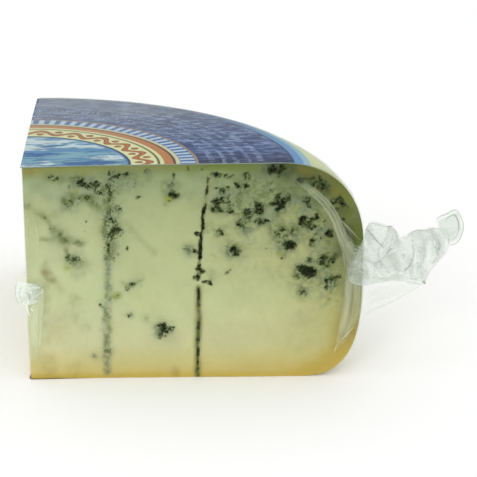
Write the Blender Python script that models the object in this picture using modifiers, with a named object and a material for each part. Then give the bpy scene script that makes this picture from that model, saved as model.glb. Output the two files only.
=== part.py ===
"""A quarter of a wheel of blue goat cheese, with its paper label and its clear film.

Metres, +Z up. The front cut face looks along -Y, the rind is at +X and +Y, and the origin is on
the base, under the middle of the wedge. Everything is made round the wheel's axis, where the
two cut faces meet, and an empty puts that axis in its place.
"""
import math
import random

import bmesh
import bpy
from mathutils import Matrix, Vector

# The wheel that the wedge was cut from
WHEEL_RADIUS = 0.130
WHEEL_HEIGHT = 0.0867
OVALNESS = 1.050                    # the wheel is this much longer along Y
PLAN_SQUARENESS = 1.86              # of the wheel seen from above; 2 is an ellipse
TIP_SAG = 0.001                     # how far the top has sunk at the wheel's middle
TOP_SHOULDER = (0.031, 0.032, 2.17)     # width, height and squareness of the upper edge
BASE_SHOULDER = (0.0265, 0.0432, 3.0)   # the same of the lower edge
CUT_ANGLE = math.radians(91.8)      # between the front cut and the left cut
AXIS_PLACE = (-0.065, -0.068, 0.0)  # where the wheel's axis meets the base

# Roundness of the turned shapes
TURN_STEPS = 96
SHOULDER_STEPS = 12
TOP_STEPS = 6
MERGE = 0.00001

# The cut faces are a little wavy, and dip into the cheese by up to this much
CUT_WAVE = 0.0008
CUT_WAVE_LENGTHS = (0.019, 0.013, 0.041)
KNIFE_CELL = 0.00735
KNIFE_REACH = 0.147
KNIFE_LOW = -0.010
KNIFE_HIGH = 0.098

# Mould pockets that open in a cut face: distance from the axis, height, width
FRONT_POCKETS = (
    (0.0475, 0.0840, 0.0027), (0.0569, 0.0762, 0.0045), (0.0633, 0.0537, 0.0018),
    (0.0741, 0.0688, 0.0038), (0.0760, 0.0596, 0.0031), (0.0794, 0.0523, 0.0038),
    (0.0825, 0.0627, 0.0025), (0.0874, 0.0674, 0.0031), (0.0901, 0.0690, 0.0029),
    (0.0893, 0.0634, 0.0023), (0.0972, 0.0828, 0.0052), (0.0969, 0.0709, 0.0053),
    (0.1005, 0.0541, 0.0040), (0.1051, 0.0800, 0.0027), (0.1069, 0.0641, 0.0032),
    (0.1107, 0.0644, 0.0025), (0.1190, 0.0711, 0.0028), (0.1173, 0.0592, 0.0029),
    (0.1148, 0.0491, 0.0026), (0.1075, 0.0451, 0.0066), (0.1069, 0.0349, 0.0034),
    (0.0537, 0.0206, 0.0038), (0.0350, 0.0340, 0.0022), (0.0182, 0.0488, 0.0034),
    (0.0260, 0.0797, 0.0030), (0.0300, 0.0782, 0.0026), (0.0143, 0.0581, 0.0042),
)
POCKET_DEPTH = 0.42                 # of the pocket's width
POCKET_ROUGHNESS = 0.24
SMALL_POCKET_WIDTHS = (0.0014, 0.0030)
SMALL_POCKETS_FRONT = 16
SMALL_POCKETS_LEFT = 40
FINE_POCKET_WIDTH = 0.0024          # a wider pocket has more faces
POCKET_MARGIN = 0.006               # clear of the wedge's edges
POCKET_SEED = 11

# Channels left by the piercing needles: top and foot as (distance from the axis, height), width
FRONT_CHANNELS = (
    ((0.0328, 0.0840), (0.0307, 0.0020), 0.0010),
    ((0.0700, 0.0815), (0.0660, 0.0020), 0.0016),
)
LEFT_CHANNELS = (
    ((0.0420, 0.0840), (0.0435, 0.0020), 0.0012),
    ((0.0850, 0.0800), (0.0830, 0.0020), 0.0015),
)
CHANNEL_POINTS = 15
CHANNEL_WANDER = 0.0005

# Paper label on the top, out to where the shoulder starts to fall
GAP = 0.0003                        # between two pieces that touch
LABEL_RADIUS = 0.1092
LABEL_THICKNESS = 0.0003

# Clear film, drawn tight over the wedge and open under it
FILM_THICKNESS = 0.00025
FILM_OVER_TOP = GAP + LABEL_THICKNESS + GAP
FILM_HEM = 0.0004                   # height of its lower edge

# Pleated pieces of the film
PLEAT_THICKNESS = 0.0004
PLEAT_COLUMN = 0.0020               # length of a face along a pleat
FACES_A_PLEAT = 6
PLEAT_DRIFT = 0.05                  # unevenness of the pleats' spacing

# Tail where the film is gathered at the right of the front face
TAIL_ROOT_X = 0.1190
TAIL_ROOT_HEIGHTS = (0.0400, 0.0615)
TAIL_END_HEIGHTS = (0.0396, 0.0682)
TAIL_LENGTHS = (0.0348, 0.0463)     # along the lower and the upper edge
TAIL_BULGE = 0.0040                 # of the outer edge
TAIL_PLEATS = 5
TAIL_PLEAT_DEPTHS = (0.0005, 0.0016)    # at the root and at the end
TAIL_PINCH = 0.0085                 # how far the upper edge dips where the tail is narrowest
TAIL_PINCH_AT = 0.54                # as a share of the tail's length
TAIL_PINCH_SPREAD = 0.15

# Small gathered fold at the front left edge
FOLD_ROOT_X = 0.0070
FOLD_ROOT_HEIGHTS = (0.0320, 0.0420)
FOLD_END_HEIGHTS = (0.0325, 0.0425)
FOLD_LENGTHS = (0.0092, 0.0106)
FOLD_BULGE = 0.0010
FOLD_PLEATS = 2
FOLD_PLEAT_DEPTHS = (0.0005, 0.0009)
FOLD_PINCH = 0.0015
FOLD_PINCH_AT = 0.55
FOLD_PINCH_SPREAD = 0.2


def clear_scene():
    """Remove every object of the open scene."""
    for thing in list(bpy.data.objects):
        bpy.data.objects.remove(thing, do_unlink=True)


def new_collection(name):
    """Make a collection in the scene."""
    collection = bpy.data.collections.new(name)
    bpy.context.scene.collection.children.link(collection)
    return collection


def new_material(name, colour, roughness, alpha=1.0):
    """Make a plain Principled material."""
    material = bpy.data.materials.new(name)
    material.use_nodes = True
    shader = material.node_tree.nodes["Principled BSDF"]
    shader.inputs["Base Color"].default_value = (*colour, 1.0)
    shader.inputs["Roughness"].default_value = roughness
    shader.inputs["Metallic"].default_value = 0.0
    shader.inputs["Alpha"].default_value = alpha
    return material


def new_object(name, mesh, collection, axis):
    """Link an object that stands on the wheel's axis."""
    body = bpy.data.objects.new(name, mesh)
    collection.objects.link(body)
    body.parent = axis
    return body


def finish_mesh(body, material, sharp_angle):
    """Give a piece its material and smooth shading up to an angle."""
    body.data.materials.append(material)
    body.data.shade_smooth()
    body.data.set_sharp_from_angle(angle=sharp_angle)


def hide_cutter(body):
    """Mark an object as a cutter."""
    body.hide_render = True
    body.display_type = "WIRE"


def cut_with(body, cutter):
    """Take a cutter, or all of a collection of cutters, out of a body."""
    cut = body.modifiers.new(cutter.name, "BOOLEAN")
    cut.operation = "DIFFERENCE"
    cut.solver = "EXACT"
    if isinstance(cutter, bpy.types.Collection):
        cut.operand_type = "COLLECTION"
        cut.collection = cutter
    else:
        cut.object = cutter


def bake(body):
    """Replace a body's mesh by what its modifiers make of it."""
    bpy.context.view_layer.update()
    evaluated = body.evaluated_get(bpy.context.evaluated_depsgraph_get())
    mesh = bpy.data.meshes.new_from_object(evaluated)
    body.modifiers.clear()
    body.data = mesh


# ---------------------------------------------------------------- the wheel's profile

def shoulder_point(shoulder, angle, grow):
    """Point of a rounded edge, from its side at angle 0 to its flat at a quarter turn."""
    width, height, squareness = shoulder
    across = math.cos(angle) / (width + grow)
    up = math.sin(angle) / (height + grow)
    reach = (abs(across) ** squareness + abs(up) ** squareness) ** (-1 / squareness)
    return reach * math.cos(angle), reach * math.sin(angle)


def top_points(grow):
    """The profile's flat top, from the axis outwards; it has sunk towards the axis."""
    points = []
    for i in range(TOP_STEPS):
        share = i / TOP_STEPS
        radius = (WHEEL_RADIUS - TOP_SHOULDER[0]) * share
        points.append((radius, WHEEL_HEIGHT - TIP_SAG * (1 - share) ** 2 + grow))
    return points


def upper_edge_points(grow):
    """The profile's upper rounded edge, downwards."""
    points = []
    for i in range(SHOULDER_STEPS + 1):
        angle = math.pi / 2 * (1 - i / SHOULDER_STEPS)
        across, up = shoulder_point(TOP_SHOULDER, angle, grow)
        centre = (WHEEL_RADIUS - TOP_SHOULDER[0], WHEEL_HEIGHT - TOP_SHOULDER[1])
        points.append((centre[0] + across, centre[1] + up))
    return points


def lower_edge_points(grow, lowest):
    """The profile's lower rounded edge, downwards, ended at the lowest height."""
    centre = (WHEEL_RADIUS - BASE_SHOULDER[0], BASE_SHOULDER[1])
    points = []
    for i in range(SHOULDER_STEPS + 1):
        across, up = shoulder_point(BASE_SHOULDER, math.pi / 2 * i / SHOULDER_STEPS, grow)
        height = centre[1] - up
        if height > lowest + MERGE:
            points.append((centre[0] + across, height))
    share = (centre[1] - lowest) / (BASE_SHOULDER[1] + grow)
    squareness = BASE_SHOULDER[2]
    across = (BASE_SHOULDER[0] + grow) * (1 - share ** squareness) ** (1 / squareness)
    points.append((centre[0] + across, lowest))
    return points


def wheel_profile(grow, lowest):
    """The whole profile, grown outwards, from the axis over the top and back to the axis."""
    points = top_points(grow) + upper_edge_points(grow) + lower_edge_points(grow, lowest)
    return points + [(0.0, lowest)]


def label_profile():
    """The label's section: its upper side outwards, then its under side back to the axis."""
    top = top_points(0.0) + upper_edge_points(0.0)
    covered = [point for point in top if point[0] < LABEL_RADIUS]
    inner = covered[-1]
    outer = top[len(covered)]
    share = (LABEL_RADIUS - inner[0]) / (outer[0] - inner[0])
    covered.append((LABEL_RADIUS, inner[1] + (outer[1] - inner[1]) * share))
    upper = [(radius, height + GAP + LABEL_THICKNESS) for radius, height in covered]
    under = [(radius, height + GAP) for radius, height in reversed(covered)]
    return upper + under


def plan_reach(turn):
    """How much further out than its radius the wheel reaches in this direction."""
    across = abs(math.cos(turn)) ** PLAN_SQUARENESS
    deep = abs(math.sin(turn) / OVALNESS) ** PLAN_SQUARENESS
    return (across + deep) ** (-1 / PLAN_SQUARENESS)


def turned(name, profile, collection, axis):
    """Turn a profile of (radius, height) points once round the axis, by the wheel's plan."""
    edges = [(i, i + 1) for i in range(len(profile) - 1)]
    mesh = bpy.data.meshes.new(name)
    mesh.from_pydata([(radius, 0.0, height) for radius, height in profile], edges, [])
    body = new_object(name, mesh, collection, axis)
    screw = body.modifiers.new("Turn", "SCREW")
    screw.steps = TURN_STEPS
    screw.render_steps = TURN_STEPS
    screw.use_merge_vertices = True
    screw.merge_threshold = MERGE
    bake(body)
    body.data.transform(Matrix.Rotation(math.pi / TURN_STEPS, 4, "Z"))
    for vert in body.data.vertices:
        reach = plan_reach(math.atan2(vert.co.y, vert.co.x))
        vert.co.x *= reach
        vert.co.y *= reach
    return body


# ---------------------------------------------------------------- the cuts

def cut_frame(angle):
    """Directions along a cut and out of its face. The front cut is at 0, the left one behind it."""
    along = Vector((math.cos(angle), math.sin(angle), 0.0))
    out = Vector((math.sin(angle), -math.cos(angle), 0.0))
    if angle > 0:
        out = -out
    return along, out


def cut_dip(along, height, angle):
    """How far a cut face dips into the cheese."""
    long_wave, high_wave, slant_wave = CUT_WAVE_LENGTHS
    swell = math.sin(along / long_wave + angle)
    swell += math.sin(height / high_wave + along / slant_wave + 2 * angle)
    return CUT_WAVE * (swell + 2) / 4


def knife(name, angle, setback, wavy, collection, axis):
    """A block that takes away all beyond a cut; its near face is set back out of the cheese."""
    along, out = cut_frame(angle)
    columns = round(2 * KNIFE_REACH / KNIFE_CELL)
    rows = round((KNIFE_HIGH - KNIFE_LOW) / KNIFE_CELL)
    shape = bmesh.new()
    bmesh.ops.create_grid(shape, x_segments=columns, y_segments=rows, size=1.0)
    for vert in shape.verts:
        distance = vert.co.x * KNIFE_REACH
        height = KNIFE_LOW + (vert.co.y + 1) / 2 * (KNIFE_HIGH - KNIFE_LOW)
        inwards = cut_dip(distance, height, angle) if wavy else 0.0
        vert.co = along * distance + out * (setback - inwards) + Vector((0.0, 0.0, height))
    back = bmesh.ops.extrude_face_region(shape, geom=shape.faces[:])
    moved = [item for item in back["geom"] if isinstance(item, bmesh.types.BMVert)]
    bmesh.ops.translate(shape, verts=moved, vec=out * KNIFE_REACH)
    bmesh.ops.recalc_face_normals(shape, faces=shape.faces[:])
    mesh = bpy.data.meshes.new(name)
    shape.to_mesh(mesh)
    shape.free()
    block = new_object(name, mesh, collection, axis)
    hide_cutter(block)
    return block


def cut_wedge(body, setback, wavy, collection, axis):
    """Leave only the wedge of a turned body, with both faces set back by the same amount."""
    for side, angle in (("left", CUT_ANGLE), ("front", 0.0)):
        cut_with(body, knife(f"{body.name}_{side}_knife", angle, setback, wavy, collection, axis))
    bake(body)


# ---------------------------------------------------------------- the mould

def pocket_cutter(name, angle, pocket, chance, collection, axis):
    """A rough blob that opens a mould pocket in a cut face."""
    distance, height, width = pocket
    along, out = cut_frame(angle)
    centre = along * distance + Vector((0.0, 0.0, height)) - out * cut_dip(distance, height, angle)
    lengths = (width * chance.uniform(0.46, 0.60), width * POCKET_DEPTH, width * chance.uniform(0.36, 0.50))
    tilt = Matrix.Rotation(chance.uniform(0.0, math.pi), 3, out)
    shape = bmesh.new()
    bmesh.ops.create_icosphere(shape, subdivisions=2 if width > FINE_POCKET_WIDTH else 1, radius=1.0)
    for vert in shape.verts:
        spread = 1 + chance.uniform(-POCKET_ROUGHNESS, POCKET_ROUGHNESS)
        local = along * vert.co.x * lengths[0] + Vector((0.0, 0.0, vert.co.z * lengths[2]))
        vert.co = centre + tilt @ (local * spread) + out * vert.co.y * lengths[1] * spread
    bmesh.ops.recalc_face_normals(shape, faces=shape.faces[:])
    mesh = bpy.data.meshes.new(name)
    shape.to_mesh(mesh)
    shape.free()
    hide_cutter(new_object(name, mesh, collection, axis))


def random_pockets(count, chance):
    """Small pockets, denser towards the top, clear of the wedge's edges."""
    pockets = []
    while len(pockets) < count:
        distance = chance.uniform(POCKET_MARGIN, WHEEL_RADIUS - TOP_SHOULDER[0])
        height = chance.uniform(POCKET_MARGIN, WHEEL_HEIGHT - POCKET_MARGIN)
        if chance.random() < (height / WHEEL_HEIGHT) ** 2:
            pockets.append((distance, height, chance.uniform(*SMALL_POCKET_WIDTHS)))
    return pockets


def channel_cutter(name, angle, channel, chance, collection, axis):
    """A wandering rod that opens a needle channel in a cut face."""
    (top_distance, top), (foot_distance, foot), width = channel
    along, out = cut_frame(angle)
    curve = bpy.data.curves.new(name, "CURVE")
    curve.dimensions = "3D"
    curve.bevel_depth = width / 2
    curve.bevel_resolution = 2
    curve.use_fill_caps = True
    line = curve.splines.new("POLY")
    line.points.add(CHANNEL_POINTS - 1)
    for i, point in enumerate(line.points):
        share = i / (CHANNEL_POINTS - 1)
        height = top + (foot - top) * share
        distance = top_distance + (foot_distance - top_distance) * share
        distance += CHANNEL_WANDER * chance.uniform(-1.0, 1.0)
        place = along * distance - out * cut_dip(distance, height, angle)
        point.co = (*(place + Vector((0.0, 0.0, height))), 1.0)
        point.radius = chance.uniform(0.75, 1.25)
    rod = new_object(name, curve, collection, axis)
    bpy.context.view_layer.update()
    mesh = bpy.data.meshes.new_from_object(rod.evaluated_get(bpy.context.evaluated_depsgraph_get()))
    bpy.data.objects.remove(rod, do_unlink=True)
    shape = bmesh.new()
    shape.from_mesh(mesh)
    bmesh.ops.remove_doubles(shape, verts=shape.verts[:], dist=MERGE)
    bmesh.ops.recalc_face_normals(shape, faces=shape.faces[:])
    shape.to_mesh(mesh)
    shape.free()
    hide_cutter(new_object(name, mesh, collection, axis))


def make_mould_cutters(axis):
    """Every pocket and needle channel of both cut faces, in a collection of their own."""
    collection = new_collection("mould_cutters")
    chance = random.Random(POCKET_SEED)
    front = list(FRONT_POCKETS) + random_pockets(SMALL_POCKETS_FRONT, chance)
    left = random_pockets(SMALL_POCKETS_LEFT, chance)
    for side, angle, pockets in (("front", 0.0, front), ("left", CUT_ANGLE, left)):
        for i, pocket in enumerate(pockets):
            pocket_cutter(f"{side}_pocket_{i}", angle, pocket, chance, collection, axis)
    for side, angle, channels in (("front", 0.0, FRONT_CHANNELS), ("left", CUT_ANGLE, LEFT_CHANNELS)):
        for i, channel in enumerate(channels):
            channel_cutter(f"{side}_channel_{i}", angle, channel, chance, collection, axis)
    return collection


# ---------------------------------------------------------------- the pieces

def make_cheese(parts, cutters, axis):
    """The cheese: the wheel's quarter with wavy cut faces, opened by mould pockets."""
    cheese = turned("cheese", wheel_profile(0.0, 0.0), parts, axis)
    cut_wedge(cheese, 0.0, True, cutters, axis)
    cut_with(cheese, make_mould_cutters(axis))
    bake(cheese)
    finish_mesh(cheese, new_material("blue_cheese", (0.58, 0.60, 0.34), 0.55), math.radians(35))


def make_label(parts, cutters, axis):
    """The printed paper label, cut flush with the cut faces."""
    label = turned("label", label_profile(), parts, axis)
    cut_wedge(label, 0.0, False, cutters, axis)
    finish_mesh(label, new_material("label_paper", (0.20, 0.28, 0.42), 0.35), math.radians(35))


def make_film_wrap(parts, cutters, axis):
    """The film over the top, the rind and both cut faces, as a thin cover open at its foot."""
    core = turned("film_core", wheel_profile(FILM_OVER_TOP, -FILM_OVER_TOP), cutters, axis)
    cut_wedge(core, GAP, False, cutters, axis)
    hide_cutter(core)
    wrap = turned("film_wrap", wheel_profile(FILM_OVER_TOP + FILM_THICKNESS, FILM_HEM), parts, axis)
    cut_wedge(wrap, GAP + FILM_THICKNESS, False, cutters, axis)
    cut_with(wrap, core)
    bake(wrap)
    return wrap


def pleated_film(name, root_x, direction, root, end, lengths, bulge, pleats, depths, pinch, parts, axis):
    """A pleated sheet that starts on the front face and stands out past the wedge's edge."""
    dip, dip_at, dip_spread = pinch
    clear = GAP + FILM_THICKNESS + GAP + PLEAT_THICKNESS / 2
    columns = round(sum(lengths) / 2 / PLEAT_COLUMN)
    shape = bmesh.new()
    bmesh.ops.create_grid(shape, x_segments=columns, y_segments=pleats * FACES_A_PLEAT, size=1.0)
    for vert in shape.verts:
        out = (vert.co.x + 1) / 2
        rise = (vert.co.y + 1) / 2
        near_pinch = math.exp(-((out - dip_at) / dip_spread) ** 2)
        low = root[0] + (end[0] - root[0]) * out
        high = root[1] + (end[1] - root[1]) * out - dip * near_pinch
        length = lengths[0] + (lengths[1] - lengths[0]) * rise + bulge * math.sin(math.pi * rise)
        depth = depths[0] + (depths[1] - depths[0]) * out ** 0.5
        drift = PLEAT_DRIFT * math.sin(2 * math.pi * rise + 3 * out)
        ripple = math.sin(2 * math.pi * pleats * (rise + drift) + 2.5 * out) * depth
        vert.co = (root_x + direction * length * out, ripple - depth - clear, low + (high - low) * rise)
    mesh = bpy.data.meshes.new(name)
    shape.to_mesh(mesh)
    shape.free()
    sheet = new_object(name, mesh, parts, axis)
    thicken = sheet.modifiers.new("Thickness", "SOLIDIFY")
    thicken.thickness = PLEAT_THICKNESS
    thicken.offset = 0.0
    bake(sheet)
    return sheet


def make_film(parts, cutters, axis):
    """The clear film: the tight wrap, the pleated tail and the small gathered fold."""
    wrap = make_film_wrap(parts, cutters, axis)
    tail = pleated_film(
        "film_tail", TAIL_ROOT_X, 1, TAIL_ROOT_HEIGHTS, TAIL_END_HEIGHTS, TAIL_LENGTHS, TAIL_BULGE,
        TAIL_PLEATS, TAIL_PLEAT_DEPTHS, (TAIL_PINCH, TAIL_PINCH_AT, TAIL_PINCH_SPREAD), parts, axis)
    fold = pleated_film(
        "film_fold", FOLD_ROOT_X, -1, FOLD_ROOT_HEIGHTS, FOLD_END_HEIGHTS, FOLD_LENGTHS, FOLD_BULGE,
        FOLD_PLEATS, FOLD_PLEAT_DEPTHS, (FOLD_PINCH, FOLD_PINCH_AT, FOLD_PINCH_SPREAD), parts, axis)
    film = new_material("clear_film", (0.85, 0.90, 0.86), 0.12, alpha=0.3)
    for piece in (wrap, tail, fold):
        finish_mesh(piece, film, math.radians(60))


def main():
    """Build the wedge."""
    clear_scene()
    parts = new_collection("blue_goat_cheese_wedge")
    cutters = new_collection("cutters")
    axis = bpy.data.objects.new("wheel_axis", None)
    axis.location = AXIS_PLACE
    parts.objects.link(axis)
    make_cheese(parts, cutters, axis)
    make_label(parts, cutters, axis)
    make_film(parts, cutters, axis)


main()
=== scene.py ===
"""Looks of a quarter wheel of blue goat cheese: its paste and mould, printed label and clear film."""
import math

import bpy
import numpy as np
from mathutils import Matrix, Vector
from mathutils.kdtree import KDTree


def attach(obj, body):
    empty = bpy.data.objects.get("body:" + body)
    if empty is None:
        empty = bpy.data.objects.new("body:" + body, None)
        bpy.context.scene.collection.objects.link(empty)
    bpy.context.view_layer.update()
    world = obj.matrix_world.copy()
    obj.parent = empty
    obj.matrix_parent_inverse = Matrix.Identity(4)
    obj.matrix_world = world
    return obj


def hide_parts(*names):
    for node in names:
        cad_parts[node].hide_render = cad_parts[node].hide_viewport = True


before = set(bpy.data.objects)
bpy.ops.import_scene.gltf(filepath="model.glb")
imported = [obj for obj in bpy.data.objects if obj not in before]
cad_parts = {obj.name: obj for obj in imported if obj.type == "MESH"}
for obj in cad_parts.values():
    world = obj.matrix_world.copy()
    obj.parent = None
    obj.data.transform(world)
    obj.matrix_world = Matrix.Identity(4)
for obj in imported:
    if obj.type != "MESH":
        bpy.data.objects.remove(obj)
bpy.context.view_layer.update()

MM = 0.001
WHITE = (1.0, 1.0, 1.0, 1.0)

# The wheel and its cuts, as in the solids
WHEEL_RADIUS = 0.130
WHEEL_HEIGHT = 0.0867
OVALNESS = 1.050                # depth of the plan over its width
PLAN_SQUARENESS = 1.86
TIP_SAG = 0.001                 # how far the top is sunk at the axis
TOP_SHOULDER = (0.031, 0.032, 2.17)     # width, height, squareness
BASE_SHOULDER = (0.0265, 0.0432, 3.0)
CUT_ANGLE = math.radians(91.8)
AXIS_PLACE = np.array((-0.065, -0.068, 0.0))
CUT_WAVE = 0.0008               # how deep the cuts' waves are
CUT_WAVE_LENGTHS = (0.019, 0.013, 0.041)
LABEL_RADIUS = 0.1092


# ---------------------------------------------------------------- noise

# Large numbers that scatter the lattice's values
SCATTER = (73856093, 19349663, 83492791)
SEED_SCATTER = 39916801
LAST_SCATTER = 1274126177
FRACTAL_SPAN = 1.6              # brings the sum of the octaves back to about -1 to 1


def lattice(cells, seed):
    """A number from 0 to 1 for each whole-number place."""
    x, y, z = (cells[..., i].astype(np.int64) * SCATTER[i] for i in range(3))
    n = x ^ y ^ z ^ (seed * SEED_SCATTER)
    n = (n ^ (n >> 13)) * LAST_SCATTER
    n = n ^ (n >> 16)
    return (n & 0xFFFF) / 0xFFFF


def noise(points, size, seed):
    """Smooth noise from -1 to 1 with lumps of about this size."""
    scaled = points / size
    cell = np.floor(scaled)
    part = scaled - cell
    part = part * part * (3 - 2 * part)
    total = np.zeros(points.shape[:-1])
    for corner in np.ndindex(2, 2, 2):
        weight = np.ones(points.shape[:-1])
        for axis in range(3):
            weight = weight * (part[..., axis] if corner[axis] else 1 - part[..., axis])
        total += weight * lattice(cell + np.array(corner), seed)
    return total * 2 - 1


def fractal(points, size, seed, octaves=4):
    """Noise summed over finer and finer lumps, from about -1 to 1."""
    total = np.zeros(points.shape[:-1])
    strength = 1.0
    for octave in range(octaves):
        total += strength * noise(points, size / 2 ** octave, seed + octave)
        strength *= 0.5
    return total / FRACTAL_SPAN


def smoothstep(low, high, value):
    """0 below low, 1 above high, smooth between. Low may be the larger."""
    share = np.clip((value - low) / (high - low), 0.0, 1.0)
    return share * share * (3 - 2 * share)


def window(risen, falling, share):
    """Rises from 0 to 1 where the share goes from 0 to risen, and falls back from falling to 1."""
    return smoothstep(0.0, risen, share) * smoothstep(1.0, falling, share)


# ---------------------------------------------------------------- the wedge's form

def edge_drop(distance, shoulder, grow):
    """How far a rounded edge has fallen at a distance past the start of its shoulder."""
    width, height, squareness = shoulder
    share = np.clip(distance / (width + grow), 0.0, 1.0)
    return (height + grow) * (1 - (1 - share ** squareness) ** (1 / squareness))


def top_of(radius, grow=0.0):
    """Height of the top, grown outwards, at a distance from the axis."""
    flat = WHEEL_RADIUS - TOP_SHOULDER[0]
    sunk = TIP_SAG * (1 - np.minimum(radius / flat, 1.0)) ** 2
    return WHEEL_HEIGHT + grow - sunk - edge_drop(radius - flat, TOP_SHOULDER, grow)


def base_of(radius, grow=0.0):
    """Height of the base, grown outwards, at a distance from the axis."""
    flat = WHEEL_RADIUS - BASE_SHOULDER[0]
    return edge_drop(radius - flat, BASE_SHOULDER, grow) - grow


def oval(turn):
    """How much further out the wheel reaches in this direction."""
    across = np.abs(np.cos(turn)) ** PLAN_SQUARENESS
    deep = np.abs(np.sin(turn) / OVALNESS) ** PLAN_SQUARENESS
    return (across + deep) ** (-1 / PLAN_SQUARENESS)


def cut_dip(along, height, angle):
    """How far a cut face dips into the cheese."""
    long_wave, high_wave, slant_wave = CUT_WAVE_LENGTHS
    swell = np.sin(along / long_wave + angle)
    swell = swell + np.sin(height / high_wave + along / slant_wave + 2 * angle)
    return CUT_WAVE * (swell + 2) / 4


def wheel_columns(cell, bends, grow=0.0):
    """Distances from the axis of a grid's columns: even over the flat top, then round the shoulder."""
    flat = WHEEL_RADIUS - TOP_SHOULDER[0]
    inner = np.linspace(0.0, flat, round(flat / cell) + 1)
    bend = np.linspace(0.0, math.pi / 2, bends)[1:]
    return np.concatenate([inner, flat + (TOP_SHOULDER[0] + grow) * np.sin(bend)])


def away_from_axis(points):
    """Level directions of length 1 away from the axis."""
    radial = points * np.array((1.0, 1.0, 0.0))
    return radial / np.maximum(np.linalg.norm(radial, axis=1, keepdims=True), 1e-9)


def noise_places(along, height, third=0.0):
    """Places of a cut face with a third coordinate, which sets one face's noise apart from another's."""
    return np.stack([along, height, np.full_like(along, third)], -1)


def read_face(points, ids, angle):
    """Vertex numbers of a cut face, their distances from the axis, heights, noise places, and the way out."""
    spots = ids.ravel()
    along = np.linalg.norm(points[spots, :2], axis=1)
    up = points[spots, 2]
    outwards = np.array((-math.sin(angle), math.cos(angle), 0.0)) * (1 if angle else -1)
    return spots, along, up, noise_places(along, up, angle), outwards


def quads(ids):
    """Faces of a grid of vertex numbers."""
    a, b, c, d = ids[:-1, :-1], ids[1:, :-1], ids[1:, 1:], ids[:-1, 1:]
    return np.stack([a, b, c, d], -1).reshape(-1, 4)


def wedge_grid(radii, shares, turns, grow, setback, floor=None):
    """Points and faces of the whole wedge, grown outwards. With a floor it ends there and is open below.

    The result has the vertex numbers of the front cut and the left cut too, by radius and share.
    """
    radius = radii[:, None] * np.ones(len(shares))
    low = base_of(radii, grow)
    if floor is not None:
        low = np.maximum(low, floor)
    height = low[:, None] + (top_of(radius, grow) - low[:, None]) * shares
    points = []
    count = 0

    def add(grid_radius, grid_turn, grid_height):
        """Add points in cylinder coordinates and return their numbers."""
        nonlocal count
        shape = np.broadcast(grid_radius, grid_turn, grid_height).shape
        reach = grid_radius * oval(grid_turn)
        block = np.stack(np.broadcast_arrays(
            reach * np.cos(grid_turn), reach * np.sin(grid_turn), grid_height), -1)
        ids = count + np.arange(int(np.prod(shape))).reshape(shape)
        points.append(block.reshape(-1, 3))
        count += ids.size
        return ids

    front = add(radius, 0.0 * radius, height)
    left = front.copy()
    left[1:] = add(radius[1:], turns[-1] + 0 * radius[1:], height[1:])
    inner = turns[1:-1][None, :]

    def strip(column, grid_radius, grid_height):
        """Vertex numbers of a strip that runs round the wheel from the front cut to the left cut."""
        ids = np.zeros((len(grid_radius), len(turns)), int)
        ids[:, 0] = front[column]
        ids[:, -1] = left[column]
        ids[:, 1:-1] = add(grid_radius[:, None] + 0 * inner, inner + 0 * grid_radius[:, None],
                           grid_height[:, None] + 0 * inner)
        return ids

    top = strip((slice(None), -1), radii, height[:, -1])
    top[0] = front[0, -1]
    rim = strip((-1, slice(None)), np.full(len(shares), radii[-1]), height[-1])
    rim[-1] = top[-1]
    faces = [quads(front), quads(left)[:, ::-1], quads(top)[:, ::-1], quads(rim)[:, ::-1]]
    hem = 0 if floor is None else int(np.argmax(base_of(radii) > floor))
    base = strip((slice(hem, None), 0), radii[hem:], height[hem:, 0])
    base[-1] = rim[0]
    if floor is None:
        base[0] = front[0, 0]
    faces.append(quads(base))
    points = np.concatenate(points)
    points[front.ravel(), 1] -= setback
    out = np.array((-math.sin(CUT_ANGLE), math.cos(CUT_ANGLE), 0.0))
    points[left[1:].ravel()] += out * setback
    points[front[0], 0] = -setback * (1 + math.cos(CUT_ANGLE)) / math.sin(CUT_ANGLE)
    return points, np.concatenate(faces), front, left


def tidy_faces(faces):
    """Faces as lists, with the doubled corner taken out where a quad has shrunk to a triangle."""
    result = []
    for face in faces.tolist():
        corners = [v for i, v in enumerate(face) if v != face[i - 1]]
        if len(set(corners)) > 2:
            result.append(corners)
    return result


def make_piece(name, points, faces, materials, fields=None, sharp=None):
    """A mesh piece of the part, with named number or colour fields on its vertices."""
    used = np.zeros(len(points), bool)
    for face in faces:
        used[face] = True
    renumber = np.cumsum(used) - 1
    mesh = bpy.data.meshes.new(name)
    placed = points[used] + AXIS_PLACE
    mesh.from_pydata(placed.tolist(), [], [[int(renumber[v]) for v in face] for face in faces])
    for field, values in (fields or {}).items():
        values = values[used]
        if values.ndim == 1:
            layer = mesh.attributes.new(field, "FLOAT", "POINT")
            layer.data.foreach_set("value", values.astype(np.float32))
        else:
            opaque_values = np.concatenate([values, np.ones((len(values), 1))], 1)
            layer = mesh.attributes.new(field, "FLOAT_COLOR", "POINT")
            layer.data.foreach_set("color", opaque_values.astype(np.float32).ravel())
    for material in materials:
        mesh.materials.append(material)
    mesh.shade_smooth()
    if sharp is not None:
        mesh.set_sharp_from_angle(angle=sharp)
    piece = bpy.data.objects.new(name, mesh)
    bpy.context.scene.collection.objects.link(piece)
    return piece


# ---------------------------------------------------------------- places read in the photo

CAMERA_YAW = -0.029
CAMERA_ELEVATION = 0.317
CAMERA_DISTANCE = 0.610
CAMERA_TARGET = np.array((0.0819, 0.0, 0.0573))     # from the wheel's axis
FOCAL_PIXELS = 1597.0
PHOTO_PIXELS = 477.0
CAMERA_BACK = np.array((math.sin(CAMERA_YAW) * math.cos(CAMERA_ELEVATION),
                        -math.cos(CAMERA_YAW) * math.cos(CAMERA_ELEVATION), math.sin(CAMERA_ELEVATION)))


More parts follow.
